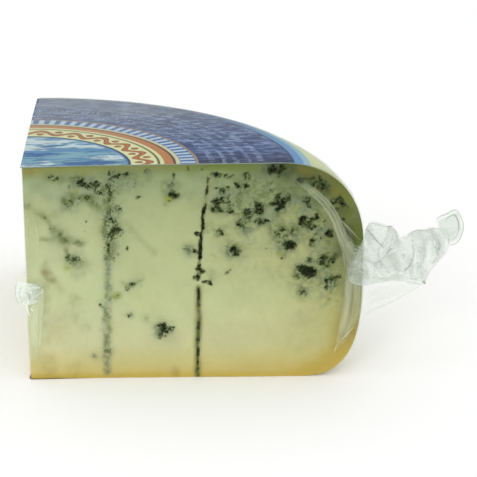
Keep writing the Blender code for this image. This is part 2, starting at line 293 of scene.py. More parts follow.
def on_cut(places, stand=0.0):
    """Distances from the axis and heights, in metres, of places read in the photo, in its pixels.

    The places lie in the plane of the front cut, or in front of it by the stand.
    """
    offset = (np.array(places, float) - PHOTO_PIXELS / 2) / FOCAL_PIXELS
    right = np.cross(-CAMERA_BACK, (0.0, 0.0, 1.0))
    right /= np.linalg.norm(right)
    up = np.cross(right, -CAMERA_BACK)
    rays = offset[..., :1] * right - offset[..., 1:] * up - CAMERA_BACK
    start = CAMERA_TARGET + CAMERA_DISTANCE * CAMERA_BACK
    run = (-stand - start[1]) / rays[..., 1:2]
    return (start + run * rays)[..., ::2]


# ---------------------------------------------------------------- material graphs

def linear(rgb):
    """Linear colour of an sRGB colour given from 0 to 255."""
    share = np.array(rgb, float) / 255
    return np.where(share <= 0.04045, share / 12.92, ((share + 0.055) / 1.055) ** 2.4)


def opaque(rgb):
    """Linear colour of an sRGB colour with full alpha, as a material takes it."""
    return (*(float(c) for c in linear(rgb)), 1.0)


class Graph:
    """A material and short ways to make its nodes."""

    def __init__(self, name):
        self.material = bpy.data.materials.new(name)
        self.material.use_nodes = True
        self.tree = self.material.node_tree
        self.tree.nodes.clear()

    def node(self, kind, inputs=None, **settings):
        """Make a node with settings and inputs, which are numbers or other nodes' outputs."""
        node = self.tree.nodes.new("ShaderNode" + kind)
        for key, value in settings.items():
            setattr(node, key, value)
        for key, value in (inputs or {}).items():
            if isinstance(value, bpy.types.NodeSocket):
                self.tree.links.new(value, node.inputs[key])
            else:
                node.inputs[key].default_value = value
        return node

    def math(self, operation, *values):
        """A sum or other calculation on numbers."""
        return self.node("Math", dict(enumerate(values)), operation=operation).outputs[0]

    def times(self, first, *others):
        """The product of values."""
        for other in others:
            first = self.math("MULTIPLY", first, other)
        return first

    def scaled(self, value, factor, offset):
        """The value times a factor, plus an offset."""
        return self.math("MULTIPLY_ADD", value, factor, offset)

    def grey(self, value):
        """A grey of this brightness."""
        return self.node("CombineColor", {0: value, 1: value, 2: value}).outputs[0]

    def smooth(self, value, low, high):
        """Map low..high to a smooth 0..1."""
        inputs = {"Value": value, "From Min": low, "From Max": high}
        return self.node("MapRange", inputs, interpolation_type="SMOOTHSTEP").outputs[0]

    def mix(self, share, first, second, blend="MIX"):
        """Mix two colours."""
        inputs = {"Fac": share, "Color1": first, "Color2": second}
        return self.node("MixRGB", inputs, blend_type=blend).outputs[0]

    def field(self, name, output="Fac"):
        """A field stored on the mesh."""
        return self.node("Attribute", attribute_name=name).outputs[output]

    def place(self):
        """Position on the object."""
        return self.node("TexCoord").outputs["Object"]

    def noise(self, size, detail=3.0, stretch=(1.0, 1.0, 1.0), roughness=0.55):
        """Noise from 0 to 1 with lumps of about this size in metres."""
        vector = self.node("Mapping", {"Vector": self.place(), "Scale": stretch}).outputs[0]
        inputs = {"Vector": vector, "Scale": 1 / size, "Detail": detail, "Roughness": roughness}
        return self.node("TexNoise", inputs).outputs["Fac"]

    def patches(self, size, detail, roughness, low, high):
        """Noise with low..high mapped to a smooth 0..1."""
        return self.smooth(self.noise(size, detail, roughness=roughness), low, high)

    def bump(self, height, depth):
        """Surface normal with relief of this depth in metres."""
        return self.node("Bump", {"Height": height, "Distance": depth, "Strength": 1.0}).outputs[0]

    def finish(self, shader):
        """Use this shader as the surface."""
        self.node("OutputMaterial", {"Surface": shader})
        return self.material


# ---------------------------------------------------------------- the cheese

# Paste colour up a cut face: share of the height, sRGB colour
PASTE_BY_HEIGHT = (
    (0.00, (190, 172, 96)),
    (0.035, (194, 179, 112)),
    (0.09, (193, 187, 129)),
    (0.16, (192, 192, 146)),
    (0.30, (187, 192, 147)),
    (0.40, (181, 188, 141)),
    (0.50, (178, 184, 138)),
    (0.66, (172, 178, 132)),
    (0.80, (161, 168, 122)),
    (0.90, (147, 158, 116)),
    (0.96, (131, 143, 98)),
    (1.00, (119, 131, 76)),
)
# Gains of the paste's colour along a cut face: share of the radius, gain for red, green and blue
PASTE_BY_LENGTH = (
    (0.00, (1.07, 1.06, 1.15)),
    (0.18, (1.03, 1.03, 1.09)),
    (0.34, (0.96, 0.97, 0.98)),
    (0.55, (0.96, 0.96, 0.95)),
    (0.72, (0.95, 0.93, 0.86)),
    (0.82, (0.92, 0.88, 0.76)),
    (0.92, (0.86, 0.80, 0.60)),
    (1.00, (0.84, 0.77, 0.56)),
)
# The same close under the side's rind, where it is dried: share of the height, sRGB colour
UNDER_SIDE = (
    (0.00, (190, 166, 80)),
    (0.20, (160, 144, 76)),
    (0.42, (134, 132, 76)),
    (0.55, (100, 108, 50)),
    (0.68, (88, 97, 36)),
    (0.78, (92, 97, 26)),
    (0.85, (106, 107, 26)),
    (0.95, (88, 91, 20)),
    (1.00, (88, 91, 22)),
)
# The same close under the top: share of the radius, sRGB colour
UNDER_TOP = (
    (0.00, (132, 136, 74)),
    (0.35, (124, 130, 76)),
    (0.55, (104, 118, 58)),
    (0.69, (98, 112, 46)),
    (0.725, (36, 46, 18)),
    (0.77, (38, 48, 18)),
    (0.81, (82, 87, 30)),
    (0.90, (90, 92, 24)),
    (1.00, (92, 96, 28)),
)
# The rind: share of the height, sRGB colour
RIND_BY_HEIGHT = (
    (0.0, (204, 190, 138)),
    (0.3, (190, 198, 150)),
    (1.0, (190, 198, 150)),
)

# What the front cut face shows. Its places are read in the photo, in pixels, and its widths are in mm.

# Colonies of mould pockets: middle, half length and half breadth in pixels, slant in degrees, number of
# pockets, width of a pocket, darkness
FRONT_COLONIES = (
    ((222, 176), (9, 1.5), 0, 7, 1.4, .85), ((248, 176), (5, 4), 0, 5, 1.2, .58),
    ((242, 186), (5, 2), 0, 4, 1.5, .75), ((241, 194), (3, 2), 60, 2, 1.5, .75),
    ((223, 190), (8, 3), 0, 5, 1.7, .50), ((224, 201), (8, 1.5), 0, 5, 1.5, .80),
    ((217, 208), (5, 4), 0, 5, 1.8, .62), ((232, 212), (2, .5), 15, 2, 1.6, .78),
    ((258, 208), (7, 4), 60, 6, 1.7, .75), ((249, 213), (5, 4), 0, 6, 1.9, .60),
    ((242, 225), (4, 3), 30, 5, 1.6, .84), ((261, 222), (6, 2), 10, 5, 1.5, .72),
    ((221, 233), (2, 2), 0, 2, 3.0, .42), ((280, 169), (7, 3), 0, 7, 2.3, .95),
    ((280, 180), (4, 1.5), 70, 3, 1.4, .80), ((273, 187), (3, 1.5), -40, 2, 1.7, .42),
    ((284, 197), (8, 4), 25, 8, 1.4, 1.0), ((280, 205), (4.5, 3), 0, 7, 2.1, 1.15),
    ((291, 203), (3, 1.5), 0, 3, 1.3, .55), ((300, 181), (5, 2), 30, 5, 1.3, .90),
    ((276, 168), (6, 3), 0, 6, 2.0, .80), ((316, 183), (12, 5), 25, 14, 1.2, .72),
    ((308, 201), (5, 2.5), 60, 4, 1.4, .74), ((319, 197), (3, 1), 70, 2, 1.2, .50),
    ((338, 205), (9, 6), 50, 12, 1.5, .80), ((345, 224), (6, 4), 70, 6, 1.4, .60),
    ((326, 191), (7, 3), 35, 6, 1.2, .50), ((304.5, 223.5), (4, 3), 60, 6, 1.6, 1.0),
    ((314, 219), (5, 2), -30, 6, 1.4, .90), ((313, 228), (6, 3), 10, 7, 1.3, .70),
    ((334, 256), (4, 7), 10, 7, 1.2, .50), ((289, 235), (5, 2), 0, 6, 1.5, .90),
    ((232, 203), (3, 4), 20, 4, 1.3, .58), ((189, 250), (4, 3), 0, 4, 1.2, .60),
    ((329, 234), (4, 3), 40, 5, 1.6, .86), ((315, 241), (6, 3), -45, 6, 1.6, .62),
    ((285, 232), (11, 3), 0, 7, 1.8, .62), ((290, 246), (4, 3.5), 60, 9, 1.9, 1.1),
    ((234, 252), (4, 3.5), 70, 8, 1.8, .98), ((309, 261), (4, 2), 90, 3, 1.2, .50),
    ((307, 272), (7.5, 3.5), 22, 15, 1.9, 1.25), ((297, 277), (3, 2), -40, 3, 1.2, .65),
    ((325, 261), (6, 3.5), 60, 7, 1.5, .80), ((333, 281), (7, 4), -20, 6, 1.6, .64),
    ((303, 292.5), (2.5, 1.3), 10, 4, 2.2, .84), ((53, 179), (9, 2), 10, 4, 1.7, .36),
    ((77, 182), (5, 3), 60, 5, 1.8, .58), ((92, 186), (9, 2.5), 15, 10, 1.6, .88),
    ((101, 194), (2, .5), 0, 2, .9, .62), ((69, 203), (5, 4), 30, 4, 1.4, .44),
    ((88, 200), (8, 2.5), 35, 5, 1.7, .47), ((61, 237), (5, 3), 20, 4, 1.2, .14),
    ((72, 260), (8, 3), 15, 14, .8, .54), ((80, 316), (14, 14), 0, 6, 1.9, .16),
    ((94, 357), (3, 1), 0, 2, 1.9, .46), ((112, 178), (3, 2), 90, 3, 1.8, .86),
    ((120, 176), (4, 1), 0, 2, 2.1, .65), ((173, 195), (4, 1), 5, 6, 1.5, 1.20),
    ((168, 202), (2, 1.5), -45, 2, 1.7, .55), ((149, 172), (1.5, .5), 0, 2, 2.2, .72),
    ((112, 228), (10, 7), 90, 20, 1.1, .70), ((114, 252), (9, 4), 90, 7, 1.1, .52),
    ((117, 209), (4, 3), 0, 3, 1.6, .46), ((131, 286), (3, 1.5), -20, 3, 1.7, .56),
    ((116, 297), (2, .8), -20, 3, 1.5, .85), ((129, 316), (2, .5), 0, 2, 1.5, .54),
    ((165, 330), (5, 3.5), 50, 8, 1.9, 1.10), ((157, 337), (2.5, 1), -10, 2, 1.7, .40),
    ((108, 351), (4, 2), 20, 3, 1.7, .46),
)
# Single pockets: place, width, darkness
FRONT_POCKETS = (
    ((171, 188), 3.0, .45), ((133, 186), 1.4, .50), ((139, 198), 1.5, .45), ((155, 186), 1.5, .40),
    ((174, 176), 1.2, .60), ((189, 170), 1.5, .45), ((203, 169), 1.6, .40), ((193, 195), 1.5, .40),
    ((197, 234), 1.4, .65), ((190, 248), 1.5, .95), ((187, 246), 1.2, .60), ((196, 252), 1.2, .80),
    ((292, 190), 1.2, .55), ((256, 268), 1.5, .25), ((228, 273), 1.9, .30), ((283, 258), 1.5, .40),
    ((337, 302), 1.9, .35), ((213, 253), 2.7, .30), ((27, 206), 1.5, .50), ((45, 218), 1.5, .45),
    ((100, 306), 1.9, .35), ((127, 249), 1.2, .35), ((145, 319), 1.9, .30), ((205, 282), 1.2, .60),
    ((211, 283), 1.6, .90), ((210, 278), 1.5, .35), ((194, 278), 1.2, .50), ((198, 276), 1.2, .90),
    ((200, 271), 1.9, .90), ((327, 287), 1.5, .90),
)
# Soft olive veins: way, width, strength
FRONT_VEINS = (
    (((21, 206), (33, 210), (44, 217), (52, 227), (60, 238), (66, 248), (69, 256)), 1.9, .62),
    (((42, 240), (50, 240), (60, 236), (70, 239), (80, 244)), 2.2, .70),
    (((54, 233), (60, 237), (67, 241)), 3.6, 1.0),
    (((45, 262), (43, 270), (48, 280), (56, 284), (61, 290)), 2.2, .34),
    (((66, 207), (64, 201), (68, 196), (75, 195)), 2.0, .55),
    (((80, 197), (88, 199), (94, 204), (100, 208)), 2.2, .62),
    (((47, 177), (59, 177), (72, 181), (83, 178)), 2.4, .40),
    (((122, 283), (129, 287), (136, 283), (143, 279)), 1.5, .40),
    (((130, 227), (137, 236), (146, 245), (155, 252)), 2.0, .22),
    (((68, 258), (76, 262), (86, 262)), 2.6, .50),
    (((294, 195), (305, 200), (317, 203)), 2.0, .42),
    (((272, 236), (281, 244), (283, 256)), 2.8, .36),
    (((217, 212), (223, 207), (233, 209)), 2.6, .42),
    (((277, 270), (286, 279), (291, 286)), 2.0, .22),
)
# Yellow-green spots: place, width, strength
FRONT_STAINS = (
    ((67, 268), 3.4, 1.0), ((117, 296), 3.6, 1.3), ((297, 208), 2.8, 1.0), ((75, 193), 2.8, 1.0),
    ((168, 200), 3.4, 1.0), ((280, 255), 3.4, 1.0), ((297, 278), 3.0, 1.0), ((69, 202), 2.6, 1.0),
    ((197, 296), 1.8, 1.0),
)
# Ochre and brown patches: place, width, strength
FRONT_OCHRES = (
    ((46, 274), 5.0, .75), ((52, 280), 4.0, .60), ((30, 172), 3.5, .40), ((302, 170), 3.5, .55),
    ((311, 174), 3.5, .40), ((336, 191), 4.5, .38), ((343, 200), 4.0, .34), ((320, 180), 3.5, .30),
    ((351, 328), 7.0, .20), ((176, 373), 5.0, .60), ((55, 326), 14.0, .24), ((350, 308), 6.0, .22),
    ((345, 335), 6.0, .26), ((45.5, 286), 4.0, .40), ((46, 299), 4.5, .34), ((46, 312), 4.5, .36),
    ((45.5, 326), 4.5, .30), ((47, 341), 5.0, .26), ((48, 367), 13.0, .34), ((74, 370), 10.0, .28),
    ((345, 188), 3.0, .35), ((330, 175), 3.0, .35), ((322, 172), 2.6, .45),
)
# Wide patches of grey-green bloom, or of clear paste where the strength is below 0: place, width, strength
FRONT_CLOUDS = (
    ((275, 172), 12, .95), ((278, 200), 12, .60), ((254, 213), 12, .74), ((218, 208), 9, .55),
    ((221, 231), 6.5, .70), ((229, 249), 8, .50), ((275, 232), 8, .70), ((285, 246), 8, .45),
    ((308, 271), 9, .50), ((327, 256), 11, .75), ((329, 232), 15, .85), ((316, 219), 12, .55),
    ((305, 190), 14, .85), ((329, 281), 13, .70), ((302, 291), 8, .45), ((101, 184), 16, .70),
    ((109, 232), 8, .85), ((75, 258), 8, .55), ((170, 188), 7.5, 1.2), ((114, 178), 13, .95),
    ((59, 234), 7, .28), ((160, 331), 6, .80), ((70, 200), 9, .60), ((91, 198), 9, .45),
    ((218, 189), 9, .45), ((244, 187), 11, .45), ((337, 296), 13, .60), ((213, 275), 6, .45),
    ((197, 250), 6, .35), ((311, 328), 26, .22), ((111, 292), 6, .30), ((134, 295), 6, .25),
    ((75, 300), 6, .30), ((74, 317), 5, .30), ((86, 330), 5, .25), ((101, 304), 4, .35),
    ((102, 333), 4, .35), ((130, 316), 4, .35), ((146, 319), 5, .30), ((35, 258), 5, .25),
    ((58, 214), 5, .25), ((47, 191), 5, .22), ((228, 273), 5, .28), ((94, 357), 4, .35),
    ((138, 175), 10, .50), ((62, 186), 8, .45), ((78, 271), 9, .40), ((136, 281), 7, .40),
    ((190, 250), 7, .60), ((209, 226), 8, .50), ((248, 228), 8, .45), ((228, 204), 8, .55),
    ((314, 228), 9, .80), ((288, 236), 7, .75), ((334, 284), 10, .40), ((299, 258), 12, -.45),
    ((282, 263), 10, -.35), ((305, 244), 8, -.40), ((318, 269), 7, -.35), ((277, 243), 6, -.30),
)
# The olive edges of the second needle's mark, given like a vein
NEEDLE_EDGES = (
    (((199, 287), (199, 310), (198, 340), (198, 378)), 1.4, .95),
)
# Marks of the piercing needles: way down the face, width, bloom, darkness, rust
FRONT_NEEDLE_MARKS = (
    (((111, 169), (110, 186), (110, 200)), 3.0, 1.5, .44, .0),
    (((110, 200), (109.5, 230), (108, 260)), 3.0, 1.3, .33, .0),
    (((108, 260), (108, 280), (107.5, 300), (107, 340), (107, 376)), 2.5, 1.35, .07, .0),
    (((208, 176), (207, 190), (206, 204)), 0.8, .40, .55, .3),
    (((206, 204), (203, 218)), 1.15, .55, .82, .2),
    (((203, 218), (203, 228), (201, 242)), 1.4, .60, 1.00, .0),
    (((201, 242), (200, 256), (199, 272)), 1.2, .60, .88, .2),
    (((199, 272), (198, 280)), 1.5, .55, .78, .2),
    (((199, 286), (199, 310), (198, 340)), 1.1, .10, .50, .95),
    (((198, 340), (198, 378)), 1.25, .15, .62, .85),
)

# The left cut face isn't seen: its marks are given by distance from the axis and height, in mm
LEFT_NEEDLE_MARKS = (
    (((42.0, 84.0), (42.8, 60.0), (43.6, 30.0), (43.5, 1.0)), 2.4, 0.9, 0.3, 0.0),
    (((85.0, 80.0), (84.2, 60.0), (83.6, 35.0), (83.0, 1.0)), 1.6, 0.4, 1.0, 0.4),
)
LEFT_MIRROR = 0.126             # distance from the axis, on the left face, of what is at the axis in front
LEFT_MOULD_COUNT = 26
LEFT_CLOUD_COUNT = 18
# What random colonies and clouds are drawn from: half sizes in metres, counts, widths in mm, strengths
LEFT_COLONY_RANGES = ((0.001, 0.0034), (0.0005, 0.0014), (3, 9), (1.3, 2.0), (0.55, 1.0))
LEFT_CLOUD_RANGES = ((8.0, 18.0), (0.40, 0.75))
SPECK_COUNT = 34                # on each cut face
SPECK_RANGES = ((0.5, 0.9), (0.30, 0.62))
MOULD_SEED = 23
FRONT_SEED = 300
LEFT_SEED = 600

GOLDEN_TURN = 2.4               # radians
GOLDEN_SHARE = 0.618
FIRST_POCKET = 0.6              # shifts all of a colony's pockets outwards from its middle
# Between what a colony's pockets vary: how far out they are, their width, darkness and length over breadth
POCKET_REACH = (0.85, 1.2)
POCKET_SPREAD = (0.45, 1.15)
POCKET_DARKNESS = (0.8, 1.15)
POCKET_STRETCH = (1.0, 1.9)
COLONY_HEM = 0.0006             # how far a colony's thin mould reaches past its pockets
CUT_PIXEL = 0.00038             # width of one of the photo's pixels on the cut
FACE_MARGIN = 0.002             # random places stay this far inside the cut face
# A colony's thin mould and a pocket, from the middle out: darkness, narrowness, power, and the strength and
# reach of the bloom round it
COLONY_SHAPE = (0.52, 0.72, 2.6, 0.60, 1.8)
POCKET_SHAPE = (0.88, 0.70, 2.0, 0.20, 2.2)
# How far outlines wander and the lumps they wander over, in metres
MOULD_WANDER = (0.0008, 0.0026)
NEEDLE_WANDER = (0.00030, 0.004)
VEIN_WANDER = (0.0009, 0.006)
# Sizes of lumps, in metres
ROUGH_SIZE = 0.0016
SPATTER_SIZE = 0.0019
SPATTER = 0.64                  # how much darker and paler the spatter makes the mould
SPATTER_IN = (0.03, 0.40)       # densities of mould between which it fades in, and out
SPATTER_OUT = (1.25, 0.75)
MOST_MOULD = 1.2
MOTTLE_SIZES = (0.0060, 0.0020)
MOTTLE = (-0.50, 0.55, 0.35)    # noise from and to, and the share of its finer lumps
BEAD_SIZE = 0.0030
FRECKLE_SIZE = 0.0015
FRECKLE_NOISE = (0.30, 0.75)    # from and to
VEIN_BREADTH = (0.45, 0.007)    # how much it varies, and the size of its lumps
VEIN_STRENGTH = (0.75, 0.60, 0.0035)    # mean, how much it varies, size of its lumps
VEIN_LIMITS = (0.15, 1.2)       # of the same
VEIN_NARROWNESS = 0.72
SPOT_RAGGED = (0.35, 0.003)     # strength and size
SPOT_EDGE = (1.35, 0.15)        # half widths from its middle where a spot ends, and where it is whole
BAND_WANDER = (0.40, 0.008)     # strength and size
BAND_MOTTLE = (0.5, 0.9, 0.0040)        # mean, how much it varies, size of its lumps
# Where the face grows dusky towards the rind, and mottled towards the top: from and to, in metres
DUSK_ALONG = (0.066, 0.104)
DUSK_HEIGHT = (0.024, 0.058)
MOTTLED_HEIGHT = (0.052, 0.078)
# Bloom of the dusk and of a cloud: where it is least mottled, and how much more where it is most
DUSK_BLOOM = (0.26, 0.56)
CLOUD_BLOOM = (0.35, 0.65)
CLOUD_EDGE = (1.35, 0.2)        # half widths from its middle where a cloud ends, and where it is whole
CLOUD_RAGGED = 0.3
TOP_BLOOM = 0.30
MOST_FRECKLED = 0.8
FRECKLED_BLOOM = 0.15           # freckles of mould grow where there is more bloom than this
FRECKLE_DARKNESS = 0.44
# How likely random mould is: anywhere, up the face, and in its outer part, and where those parts begin and
# are whole
LIKELY = (0.03, 0.55, 0.42)
LIKELY_HEIGHT = (0.030, 0.078)
LIKELY_ALONG = (0.055, 0.095)
LIKELY_OUTER_HEIGHT = (0.028, 0.050)
NEEDLE_ENDS = (0.001, 0.0006)   # how far past and inside its ends a needle's mark fades
NEEDLE_STRETCH = (0.2, 1.0, 1.0)
NEEDLE_BLOOM = (0.70, 0.45, 1.25)       # least, more where mottled, reach in half widths
NEEDLE_RAGGED = 0.35            # how much its breadth varies
BEADED = 0.45                   # how much its darkness varies along its way
RUST = (0.7, 0.3, 2.3)          # mean, how much it follows the beads, reach in half widths
PIT_DEEPEST = 0.0008
PIT_MOULD = (0.42, 0.95)        # how dense the mould is where pits start, and where they are deepest

UNDER_RIND_REACH = (0.0030, 0.0100)     # at the label and at the shoulder
UNDER_BASE_REACH = (0.0022, 0.0070)     # at the axis, and how much more at the rind
SHOULDER_ALONG = (0.080, 0.112)
BASE_RIND_ALONG = (0.095, 0.125)
BASE_BELOW_MIDDLE = 0.012       # the outline counts as the base this far below the middle of the height
UNDER_TOP_FROM = (0.86, 0.95)   # of the height, from where the band has the colours under the top
BAND_FADE = (1.35, 0.30)        # depths, over the band's own, between which it fades in towards the rind
DEEP_BAND = 0.72                # how much darker the mottled band is, deep under the shoulder's rind
DEEP_FROM = (0.45, 0.60)        # of the height
DEEP_START = (0.10, 0.55)       # depths over the band's own
DEEP_END = (1.7, 1.0)
UNDER_RIND_BLOOM = 0.55         # share of the bloom that the dried band hides

PASTE_CELL = 0.00060
FINE_ROW = 0.00050
COARSE_ROW = 0.0009
FINE_FROM = 0.42                # of the height
CHEESE_BENDS = 59
CHEESE_TURNS = 54
OUTLINE_CELL = 0.00168
OUTLINE_BENDS = 40
RIND_LUMPS = (0.00012, 0.012)   # depth and size
LUMPS_FROM = (0.02, 0.1)        # distances from the axis
LUMPS_ABOVE = 0.004             # the height where they are whole
WIRE_GRAIN = (0.00005, 0.0016)
CHIPS = (0.0004, 0.010)
CHIP_REACH = 0.0014             # up from the base
PIT_HEM = (0.0006, 0.0008)      # pits fade out this near to the rind and to the axis
CHEESE_CREASE_ANGLE = math.radians(50)

# The mould's colours as it grows denser: from, to, strength, sRGB colour
MOULD_STAGES = (
    (0.14, 0.42, 0.64, (90, 102, 62)),
    (0.32, 0.58, 0.92, (56, 66, 28)),
    (0.58, 0.92, 1.0, (18, 22, 6)),
)
BLOOM_COLOURS = ((96, 110, 68), (104, 118, 92))
OCHRE_COLOUR = (124, 104, 40)
STAIN_COLOUR = (138, 150, 56)
VEIN_COLOUR = (84, 98, 48)
WARM_GAIN = (1.04, 0.99, 0.86, 1.0)
# Noises of the paste: size in metres, detail
CLOUDY = (0.010, 3.0)
GRAIN = (0.0016, 4.0)
FINE = (0.00045, 2.0)
# Noises mapped to 0..1: size in metres, detail, roughness, from, to
WARM_PATCHES = (0.014, 2.0, 0.55, 0.50, 0.72)
SOFT_BLOOM = (0.0019, 5.0, 0.72, 0.34, 0.62)
COOL_BLOOM = (0.0065, 2.0, 0.55, 0.44, 0.60)
UNEVEN_OCHRE = (0.0035, 4.0, 0.55, 0.25, 0.75)
MOULD_SPRAY = (0.00085, 4.0, 0.70, 0.28, 0.72)
# How much a value changes with its noise or field, and what it is without it
CLOUDY_TONE = (0.22, 0.90)
GRAINY_TONE = (0.16, 0.93)
BLOOM_SHARE = (0.58, 0.36)
OCHRE_SHARE = (0.6, 0.4)
VEIN_SHARE = (0.5, 0.7)
SPRAY = (0.72, -0.36)
ROUGHNESS = (0.2, 0.42)
SHINE = (-0.10, 0.12)
WARM_SHARE = 0.30
STAIN_SHARE = 0.60
# Densities of mould between which its spray, its sinking and its dulling fade in
SPRAY_FROM = (0.05, 0.30)
SUNK_FROM = (0.3, 0.8)
DULL_FROM = (0.3, 0.7)
PASTE_RELIEF = 0.00020          # in metres
GRAIN_RELIEF = 0.6              # shares of it
FINE_RELIEF = 0.4
SCATTERING = {"Subsurface Weight": 0.06, "Subsurface Radius": (1.0, 0.8, 0.4), "Subsurface Scale": 0.002}


def read_stops(stops, share):
    """Three numbers at each share, read between stops: place, three numbers."""
    places, triples = zip(*stops)
    return np.stack([np.interp(share, places, numbers) for numbers in np.array(triples).T], -1)


def read_colours(stops, share):
    """Linear colours read from a list of sRGB stops."""
    return read_stops([(place, linear(colour)) for place, colour in stops], share)


def mould_density(along, height):
    """How likely mould is at a place on a cut face: more at the top and towards the rind."""
    up = smoothstep(*LIKELY_HEIGHT, height)
    towards_rind = smoothstep(*LIKELY_ALONG, along) * smoothstep(*LIKELY_OUTER_HEIGHT, height)
    anywhere, high_up, outer = LIKELY
    return np.clip(anywhere + high_up * up ** 1.5 + outer * towards_rind, 0.0, 1.0)


def in_face(along, height):
    """Whether a place is on the cut face, clear of its edges."""
    in_length = FACE_MARGIN < along < WHEEL_RADIUS - FACE_MARGIN
    return in_length and base_of(along) + FACE_MARGIN < height < top_of(along) - FACE_MARGIN


def random_places(count, chance):
    """Random places on a cut face, by the density above."""
    places = []
    while len(places) < count:
        along, height = chance.uniform(0.0, WHEEL_RADIUS), chance.uniform(0.0, WHEEL_HEIGHT)
        if in_face(along, height) and chance.uniform() < mould_density(along, height):
            places.append((along, height))
    return places


def random_spots(count, widths, strengths, chance):
    """Spots at random places of a cut face: place, width, strength."""
    places = random_places(count, chance)
    return [(place, chance.uniform(*widths), chance.uniform(*strengths)) for place in places]


def random_colonies(count, chance):
    """Colonies at random places of a cut face, in metres and radians."""
    lengths, breadths, counts, widths, strengths = LEFT_COLONY_RANGES
    return [(place, (chance.uniform(*lengths), chance.uniform(*breadths)), chance.uniform(0.0, math.pi),
             int(chance.integers(*counts)), chance.uniform(*widths), chance.uniform(*strengths))
            for place in random_places(count, chance)]


def colony_pockets(colonies, chance):
    """The pockets of each colony, spread over its ellipse: place, width in mm, darkness."""
    rows = []
    for (along, height), (half_length, half_breadth), tilt, count, width, darkness in colonies:
        start = chance.uniform(0, 2 * math.pi)
        for number in range(count):
            reach = math.sqrt((number + FIRST_POCKET) / count) * chance.uniform(*POCKET_REACH)
            angle = start + GOLDEN_TURN * number
            length, breadth = half_length * reach * math.cos(angle), half_breadth * reach * math.sin(angle)
            place = (along + length * math.cos(tilt) - breadth * math.sin(tilt),
                     height + length * math.sin(tilt) + breadth * math.cos(tilt))
            rows.append((place, width * chance.uniform(*POCKET_SPREAD),
                         darkness * chance.uniform(*POCKET_DARKNESS)))
    return rows


def colonies_on_cut(colonies):
    """The photo's colonies in metres on the cut face, with slants in radians, anticlockwise."""
    return [(on_cut(place), (length * CUT_PIXEL, breadth * CUT_PIXEL), -math.radians(slant), *rest)
            for place, (length, breadth), slant, *rest in colonies]


def placed(rows):
    """The same rows with their places, or the points of their ways, moved from the photo to the cut face."""
    return [(on_cut(row[0]), *row[1:]) for row in rows]


def distance_to_way(along, height, way):
    """Distance from each place to a way given by its points."""
    best = np.full(along.shape, 1.0)
    for (x0, z0), (x1, z1) in zip(way[:-1], way[1:]):
        dx, dz = x1 - x0, z1 - z0
        share = np.clip(((along - x0) * dx + (height - z0) * dz) / (dx * dx + dz * dz), 0.0, 1.0)
        best = np.minimum(best, np.hypot(along - x0 - share * dx, height - z0 - share * dz))
    return best


def add_needle_marks(mould, bloom, along, height, marks, rough, mottle, flat, seed):
    """The mould and bloom with the needles' marks added, and their rust."""
    rust = np.zeros_like(along)
    wander, lumps = NEEDLE_WANDER
    past, within = NEEDLE_ENDS
    least, more, halo_reach = NEEDLE_BLOOM
    wandering = along + wander * fractal(flat, lumps, seed + 200)
    rust_mean, rust_beaded, rust_reach = RUST
    beads = 1.0 + BEADED * fractal(flat * np.array(NEEDLE_STRETCH), BEAD_SIZE, seed + 120, 3)
    for way, width, strength, darkness, rusty in marks:
        middles, heights = way[::-1].T
        off = (wandering - np.interp(height, heights, middles)) / (width * MM / 2)
        inside = smoothstep(heights[0] - past, heights[0] + within, height)
        inside = inside * smoothstep(heights[-1] + past, heights[-1] - within, height)
        line = inside * np.exp(-(off * (1 + NEEDLE_RAGGED * rough)) ** 2)
        mould = np.maximum(mould, darkness * beads * line)
        bloom = bloom + strength * inside * (least + more * mottle) * np.exp(-(off / halo_reach) ** 2)
        stain = rusty * inside * (rust_mean + rust_beaded * beads) * np.exp(-(off / rust_reach) ** 2)
        rust = np.maximum(rust, stain)
    return mould, bloom, rust


